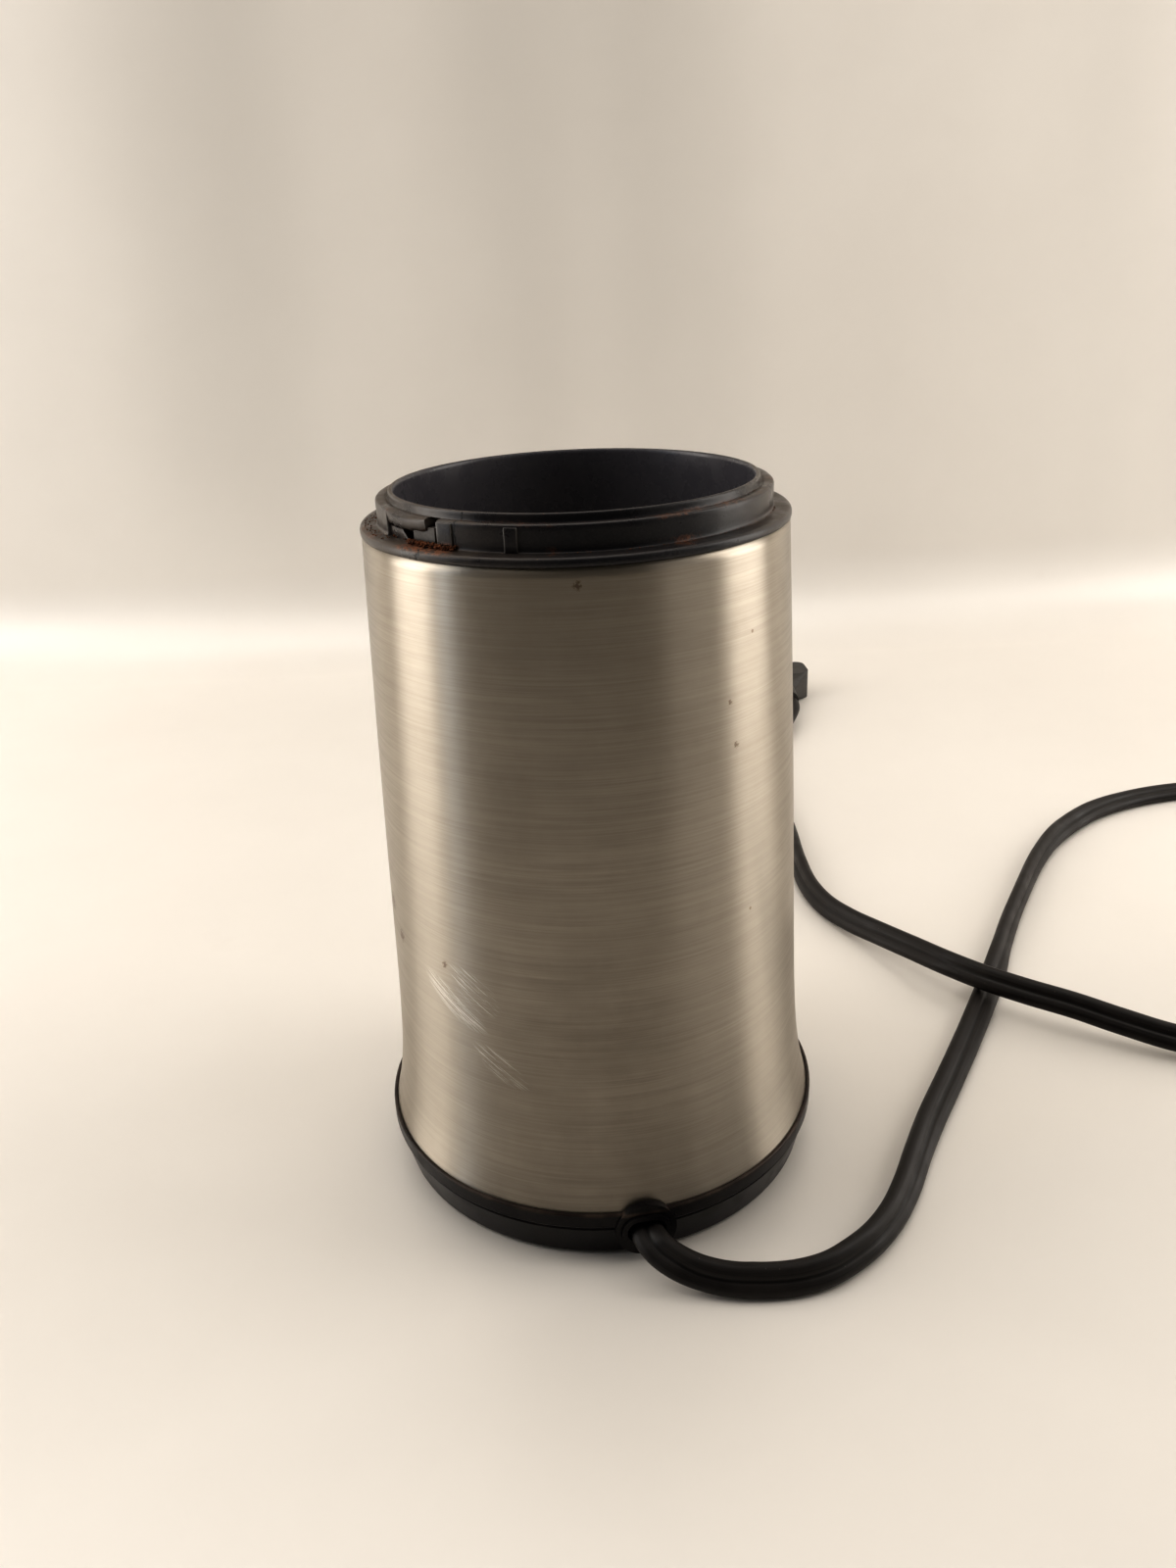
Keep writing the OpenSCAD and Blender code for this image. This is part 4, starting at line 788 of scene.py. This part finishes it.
WINDOW = (198.0, 222.4)      # degrees: the recess in the collar
LIP_END = 218.0              # beyond this angle the window's upper lip has broken away
COLLAR = [
    (36.0, 137.7), (36.0, 146), (36.0, 152), (36.0, 156.6), (36.08, 157.1), (36.3, 157.42), (36.6, 157.5),
    (36.85, 157.45), (37.05, 157.2), (37.1, 156.8), (37.12, 156.15), (37.3, 155.88), (37.55, 155.84),
    (37.75, 156.02), (38.0, 156.1), (38.9, 156.1), (39.4, 156.02), (39.62, 155.82), (39.7, 155.5),
    (39.7, 154.9), (39.7, 154.2), (39.68, 153.4), (39.66, 152.6), (39.66, 151.9), (39.7, 151.45),
    (39.85, 151.22), (40.1, 151.12), (40.5, 151.1), (40.9, 151.1), (41.3, 151.1), (41.8, 151.1),
    (42.2, 151.1), (42.6, 151.05), (42.95, 150.9), (43.2, 150.62), (43.3, 150.3), (43.3, 149.85),
    (43.24, 149.45), (42.2, 149.42), (42.2, 146.2), (42.2, 143.05), (40.2, 143.05), (40.2, 147.4),
    (38.3, 147.4), (38.3, 142), (38.3, 137.7)]
LIP_FIRST, BAND_FIRST, BAND_LAST = 14, 19, 24


def wobble(x, seed, size=1.0):
    """Smooth random waver along x."""
    slow = noise.noise(Vector((x * size, seed, 0.3)))
    return slow + 0.5 * noise.noise(Vector((x * size * 2.7, seed, 5.1)))


def lip_bottom(degrees):
    """Height of the torn lower edge of the window's lip, sagging towards the middle."""
    t = (degrees - WINDOW[0]) / (LIP_END - WINDOW[0])
    return 153.75 - 0.55 * math.sin(math.pi * min(t * 0.9 + 0.1, 1)) + 0.3 * wobble(degrees, 4.0, 0.6)


def collar_point(i, degrees):
    """The collar's outline at an angle: plain, inside the window, or where its lip is gone."""
    r, z = COLLAR[i]
    if not WINDOW[0] <= degrees <= WINDOW[1]:
        if LIP_FIRST <= i <= BAND_LAST:
            r += 0.05 * wobble(degrees, 1.0, 0.15)
        return r, z
    floor_z, back_r = FOOT_Z + 0.02, 37.3
    gone = degrees > LIP_END
    low = lip_bottom(degrees)
    if LIP_FIRST <= i < BAND_FIRST:
        if gone:
            return (back_r, 155.5 - 0.05 * (i - LIP_FIRST))
        sag = 0.5 * math.sin(math.pi * (degrees - WINDOW[0]) / (LIP_END - WINDOW[0]))
        return r, z - sag
    if BAND_FIRST <= i <= BAND_LAST:
        inward = [(39.55, low + 0.35), (39.3, low), (38.3, low - 0.08), (back_r, low), (back_r, 152.4),
                  (back_r, floor_z + 0.1)]
        if gone:
            return back_r, 155.2 - (i - BAND_FIRST) * 0.75
        return inward[i - BAND_FIRST]
    if i == BAND_LAST + 1:
        return back_r + 0.1, floor_z
    return r, z


def collar_steps():
    """Angles of the collar's rings, closer together around the damaged window."""
    steps = [a for a in even_steps(240) if not 190 < a < 226]
    steps += [190 + 0.5 * k for k in range(1, 72)]
    for edge in (WINDOW[0], WINDOW[1], LIP_END):
        steps += [edge - 0.03, edge + 0.03]
    return sorted(set(round(a, 3) for a in steps))


def collar_piece(name, start, end, inner, outer, low, high, material, skew=0.0):
    """A curved block on the collar between two angles, leaning by skew degrees towards its top."""
    verts, faces, count = [], [], 6
    for k in range(count + 1):
        for r, z, lean in ((inner, low, 0), (outer, low, 0), (outer, high, skew), (inner, high, skew)):
            a = math.radians(start + (end - start) * k / count + lean)
            verts.append((r * math.cos(a) * MM, r * math.sin(a) * MM, z * MM))
    for k in range(count):
        for j in range(4):
            m = (j + 1) % 4
            faces.append((4 * k + j, 4 * k + m, 4 * k + 4 + m, 4 * k + 4 + j))
    faces += [(3, 2, 1, 0), tuple(4 * count + j for j in range(4))]
    return outward(mesh_object(name, verts, faces, material, smooth=False))


def join(name, pieces):
    """Joins closed pieces into one mesh."""
    bm = bmesh.new()
    for piece in pieces:
        bm.from_mesh(bake(piece).data)
        bpy.data.objects.remove(piece)
    mesh = bpy.data.meshes.new(name)
    bm.to_mesh(mesh)
    bm.free()
    joined = bpy.data.objects.new(name, mesh)
    bpy.context.scene.collection.objects.link(joined)
    return joined


def make_housing(material):
    """The worn collar and flange as one closed ring with its pads, over the CAD cup and deck."""
    steps = collar_steps()
    ring = turned("collar_ring", COLLAR, steps, material, collar_point)
    cut(ring, box_at("rod_slot", (37.36, -3.3, 142), (39.5, 3.3, 152.6), ROD_ANGLE))
    rib = collar_piece("rib", 242.5, 246.2, 38.5, 40.0, 151.0, 155.6, material)
    pad = collar_piece("pad", 222.3, 227.6, 38.4, 39.95, 151.0, 155.8, material)
    far_pad = collar_piece("far_pad", 38.9, 44.1, 38.4, 39.95, 151.0, 155.6, material)
    far_rib = collar_piece("far_rib", 61.3, 65.1, 38.5, 40.0, 151.0, 155.6, material)
    flap = collar_piece("bent_flap", 199.4, 209.6, 38.7, 39.2, 151.05, 153.1, material, skew=-3.4)
    for piece in (rib, pad, far_pad, far_rib, flap):
        bevel(piece, 0.2)
    core = cad_copy("housing_core", "top_housing", lambda centre: centre.z < CORE_TOP)
    core.data.materials.append(material)
    housing = join("housing_skin", [ring, rib, pad, far_pad, far_rib, flap, core])
    housing.data.materials.clear()
    housing.data.materials.append(material)
    sharp_edges(housing, 38)
    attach(housing, "base")
    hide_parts("top_housing")


make_housing(housing_plastic())


# ---------------------------------------------------------------- coffee crumbs

def crumbs_tree(material):
    """Crumbs dropped at random on a sector of a flat ring."""
    g, given, out = new_group("dropped_crumbs", "GeometryNodeTree", {
        "Count": 100, "Seed": 1, "From Degrees": 0.0, "To Degrees": 360.0, "Inner Radius": 38.0,
        "Outer Radius": 40.0, "Height": 150.0, "Pile": 0.3, "Small": 0.1, "Large": 0.4},
        {"Geometry": "Geometry"})

    def chance(low, high, salt):
        keys = {2: low, 3: high, "Seed": g.plus(given["Seed"], float(salt))}
        return g.add("FunctionNodeRandomValue", keys, data_type="FLOAT").outputs[1]

    angle = g.calc("RADIANS", chance(given["From Degrees"], given["To Degrees"], 1))
    radius = g.times(chance(given["Inner Radius"], given["Outer Radius"], 2), MM)
    height = g.times(g.plus(given["Height"], chance(0.0, given["Pile"], 3)), MM)
    place = g.add("ShaderNodeCombineXYZ", {
        "X": g.times(radius, g.calc("COSINE", angle)),
        "Y": g.times(radius, g.calc("SINE", angle)), "Z": height}).outputs[0]
    spots = g.add("GeometryNodePoints", {"Count": given["Count"], "Position": place}).outputs[0]
    crumb = g.add("GeometryNodeMeshIcoSphere", {"Radius": 1.0, "Subdivisions": 1}).outputs["Mesh"]
    jitter = g.add("ShaderNodeTexNoise", {"Scale": 1.7, "Detail": 1.0}).outputs["Fac"]
    push = g.minus(jitter, 0.5)
    away = g.vector("MULTIPLY", g.add("GeometryNodeInputNormal").outputs[0],
                    g.place(push, push, push))
    crumb = g.add("GeometryNodeSetPosition", {"Geometry": crumb, "Offset": away}).outputs[0]
    size = g.times(chance(given["Small"], given["Large"], 4), MM)
    turn = g.add("FunctionNodeRandomValue", data_type="FLOAT_VECTOR")
    turn.inputs[1].default_value = (TURN, TURN, TURN)
    placed = g.add("GeometryNodeInstanceOnPoints", {
        "Points": spots, "Instance": crumb, "Rotation": turn.outputs[0], "Scale": size}).outputs[0]
    placed = g.add("GeometryNodeRealizeInstances", {"Geometry": placed}).outputs[0]
    placed = g.add("GeometryNodeSetMaterial", {"Geometry": placed, "Material": material}).outputs[0]
    g.plug(placed, out["Geometry"])
    return g.tree


def make_crumbs():
    """Crumbs by the window, in its recess, on the flange, under the rim and at the collar's foot."""
    finish = crumb_finish()
    tree = crumbs_tree(finish)
    heaps = [
        ("crumbs_window", 420, 3, 211.0, 228.5, 39.5, 40.7, 151.15, 0.7, 0.09, 0.3),
        ("crumbs_recess", 70, 5, 199.0, 214.0, 37.6, 39.4, 151.15, 0.3, 0.08, 0.26),
        ("crumbs_flange", 110, 8, 150.0, 202.0, 39.9, 42.3, 151.12, 0.06, 0.05, 0.18),
        ("crumbs_ledge", 120, 11, 225.0, 330.0, 37.2, 37.6, 155.88, 0.06, 0.04, 0.12),
        ("crumbs_foot", 120, 14, 255.0, 340.0, 39.75, 40.1, 151.15, 0.08, 0.04, 0.12)]
    parts = [grow(name, tree, Count=count, Seed=seed, From_Degrees=float(a0), To_Degrees=float(a1),
                  Inner_Radius=float(r0), Outer_Radius=float(r1), Height=z, Pile=pile, Small=small,
                  Large=large)
             for name, count, seed, a0, a1, r0, r1, z, pile, small, large in heaps]
    crumbs = join("coffee_crumbs", parts)
    crumbs.data.materials.append(finish)
    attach(crumbs, "base")


make_crumbs()


# ---------------------------------------------------------------- CAD nodes that keep their shape

def dress(material, *nodes):
    """Gives CAD nodes that keep their shape one finish."""
    for node in nodes:
        mesh = NODES[node].data
        mesh.materials.clear()
        mesh.materials.append(material)


dress(base_plastic(), "base_ring", "bottom_pan", "cord_bushing")

# finish, darkest and lightest colour, then roughness, grain pitch, tarnish and relief, and the nodes
METALS = [
    ("bowl_steel", (0.5, 0.48, 0.44), (0.66, 0.64, 0.6), (0.24, 0.6, 0.4, 0.02), "grinding_bowl"),
    ("blade_steel", (0.5, 0.5, 0.5), (0.68, 0.68, 0.68), (0.22, 0.35, 0.3, 0.02), "blade"),
    ("nut_steel", (0.6, 0.6, 0.6), (0.75, 0.75, 0.75), (0.16, 0.4, 0.2, 0.02), "blade_nut"),
    ("shaft_steel", (0.4, 0.4, 0.41), (0.55, 0.55, 0.56), (0.26, 0.3, 0.2, 0.02), "rotor_shaft"),
    ("zinc_steel", (0.42, 0.42, 0.44), (0.62, 0.62, 0.63), (0.3, 0.5, 0.3, 0.02),
     "motor_screws mount_screws base_screws clamp_screws switch_screws lever_pin bearing_retainers "
     "switch_lever"),
    ("spring_wire", (0.36, 0.36, 0.38), (0.55, 0.55, 0.57), (0.28, 0.2, 0.2, 0.02),
     "interlock_spring brush_spring_left brush_spring_right"),
    ("lamination_steel", (0.12, 0.12, 0.13), (0.26, 0.26, 0.28), (0.42, 1.0, 0.4, 0.08),
     "stator_core armature_core"),
    ("bracket_zinc", (0.46, 0.47, 0.49), (0.62, 0.63, 0.65), (0.34, 0.8, 0.25, 0.02),
     "upper_bracket lower_bracket"),
    ("bronze_bush", (0.42, 0.27, 0.13), (0.58, 0.4, 0.22), (0.36, 0.3, 0.3, 0.02),
     "upper_bearing lower_bearing"),
    ("brass", (0.6, 0.44, 0.2), (0.78, 0.6, 0.3), (0.22, 0.4, 0.25, 0.02),
     "blade_spacer brush_holder_left brush_holder_right"),
    ("copper_bars", (0.56, 0.29, 0.16), (0.76, 0.44, 0.27), (0.26, 0.25, 0.3, 0.02), "commutator"),
    ("plug_brass", (0.62, 0.52, 0.33), (0.8, 0.72, 0.5), (0.22, 0.4, 0.25, 0.02), "plug_blades"),
    ("enamelled_wire", (0.3, 0.1, 0.03), (0.55, 0.23, 0.09), (0.3, 0.55, 0.2, 0.15),
     "armature_winding stator_coil_left stator_coil_right"),
]
# finish, colour, then roughness and dust, and the nodes
PLASTICS = [
    ("rod_plastic", (0.055, 0.052, 0.05), (0.42, 0.5), "interlock_rod"),
    ("black_rubber", (0.012, 0.012, 0.012), (0.6, 0.3), "shaft_seal rubber_mounts rubber_feet"),
    ("carbon_block", (0.03, 0.03, 0.033), (0.5, 0.1), "carbon_brush_left carbon_brush_right"),
    ("fan_plastic", (0.7, 0.68, 0.62), (0.4, 0.3), "cooling_fan"),
    ("switch_plastic", (0.06, 0.045, 0.035), (0.4, 0.2), "switch_body"),
    ("button_red", (0.42, 0.04, 0.03), (0.35, 0.1), "switch_button"),
    ("clamp_plastic", (0.1, 0.1, 0.1), (0.45, 0.2), "cord_clamp"),
    ("lead_brown", (0.16, 0.06, 0.03), (0.4, 0.2), "lead_live"),
    ("lead_white", (0.7, 0.7, 0.68), (0.4, 0.2), "lead_neutral"),
    ("lead_black", (0.02, 0.02, 0.02), (0.4, 0.2), "lead_switched"),
    ("plug_vinyl", (0.018, 0.017, 0.017), (0.4, 0.3), "plug_body"),
]

for name, low, high, amounts, nodes in METALS:
    dress(plain_metal(name, rgb(*low), rgb(*high), *amounts), *nodes.split())
for name, colour, amounts, nodes in PLASTICS:
    dress(plain_plastic(name, rgb(*colour), *amounts), *nodes.split())


# ---------------------------------------------------------------- floor and light

def make_sweep():
    """A paper sweep: level in front, turning up behind the object."""
    yaw = math.radians(9)
    forward, across = Vector((math.sin(yaw), math.cos(yaw), 0)), Vector((math.cos(yaw), -math.sin(yaw), 0))
    line = [(-2.2, 0.0), (-0.6, 0.0), (0.36, 0.0)]
    line += [(0.36 + 0.05 * math.sin(a), 0.05 - 0.05 * math.cos(a))
             for a in (math.radians(6 * k) for k in range(1, 15))]
    line += [(0.43, 0.3), (0.52, 2.2)]
    verts = [forward * d + across * s + Vector((0, 0, z)) for d, z in line for s in (-2.4, 2.4)]
    faces = [(2 * i, 2 * i + 1, 2 * i + 3, 2 * i + 2) for i in range(len(line) - 1)]
    paper = paper_floor()
    mesh_object("paper_sweep", verts, faces, paper)
    beyond = [forward * d + across * s + Vector((0, 0, -0.0005)) for d in (0.3, 2.6) for s in (-2.4, 2.4)]
    mesh_object("paper_beyond", beyond, [(0, 1, 3, 2)], paper)


def softbox(name, place, target, size, power, colour):
    data = bpy.data.lights.new(name, "AREA")
    data.shape, data.size, data.size_y = "RECTANGLE", size[0], size[1]
    data.energy, data.color = power, colour
    lamp = bpy.data.objects.new(name, data)
    bpy.context.scene.collection.objects.link(lamp)
    lamp.location = place
    lamp.rotation_euler = (Vector(target) - Vector(place)).to_track_quat("-Z", "Y").to_euler()


def make_light():
    """Two tall softboxes at the sides, a large one above, and a dark room in front."""
    world = bpy.data.worlds.new("studio")
    world.use_nodes = True
    world.node_tree.nodes["Background"].inputs["Color"].default_value = rgb(0.9, 0.84, 0.76)
    # a dark room in the reflections, a pale wall where the camera looks past the paper
    g = Graph(world.node_tree)
    seen = g.add("ShaderNodeLightPath").outputs["Is Camera Ray"]
    g.plug(g.smooth(seen, 0.0, 1.0, 0.06, 0.62), world.node_tree.nodes["Background"].inputs["Strength"])
    bpy.context.scene.world = world
    warm, cool = (1.0, 0.955, 0.9), (0.72, 0.84, 1.0)
    softbox("left_softbox", (-0.83, 0.2, 0.4), (0, 0, 0.1), (0.46, 1.0), 4.7, warm)
    softbox("right_softbox", (0.85, -0.06, 0.4), (0, 0, 0.1), (0.5, 1.0), 4.6, warm)
    softbox("right_fill", (0.62, -0.6, 0.4), (0, 0, 0.1), (0.4, 1.0), 0.45, warm)
    softbox("left_window", (-0.86, -0.14, 0.4), (0, 0, 0.1), (0.1, 0.8), 0.5, cool)
    softbox("high_softbox", (0.0, 0.6, 1.2), (0, 0.05, 0), (1.6, 0.7), 8.6, warm)
    softbox("sweep_light", (0.0, -0.1, 1.3), (0, 0.6, 0.3), (1.6, 0.5), 3.4, warm)
    view = bpy.context.scene.view_settings
    view.view_transform = "Standard"
    view.look = "High Contrast"


make_sweep()
make_light()
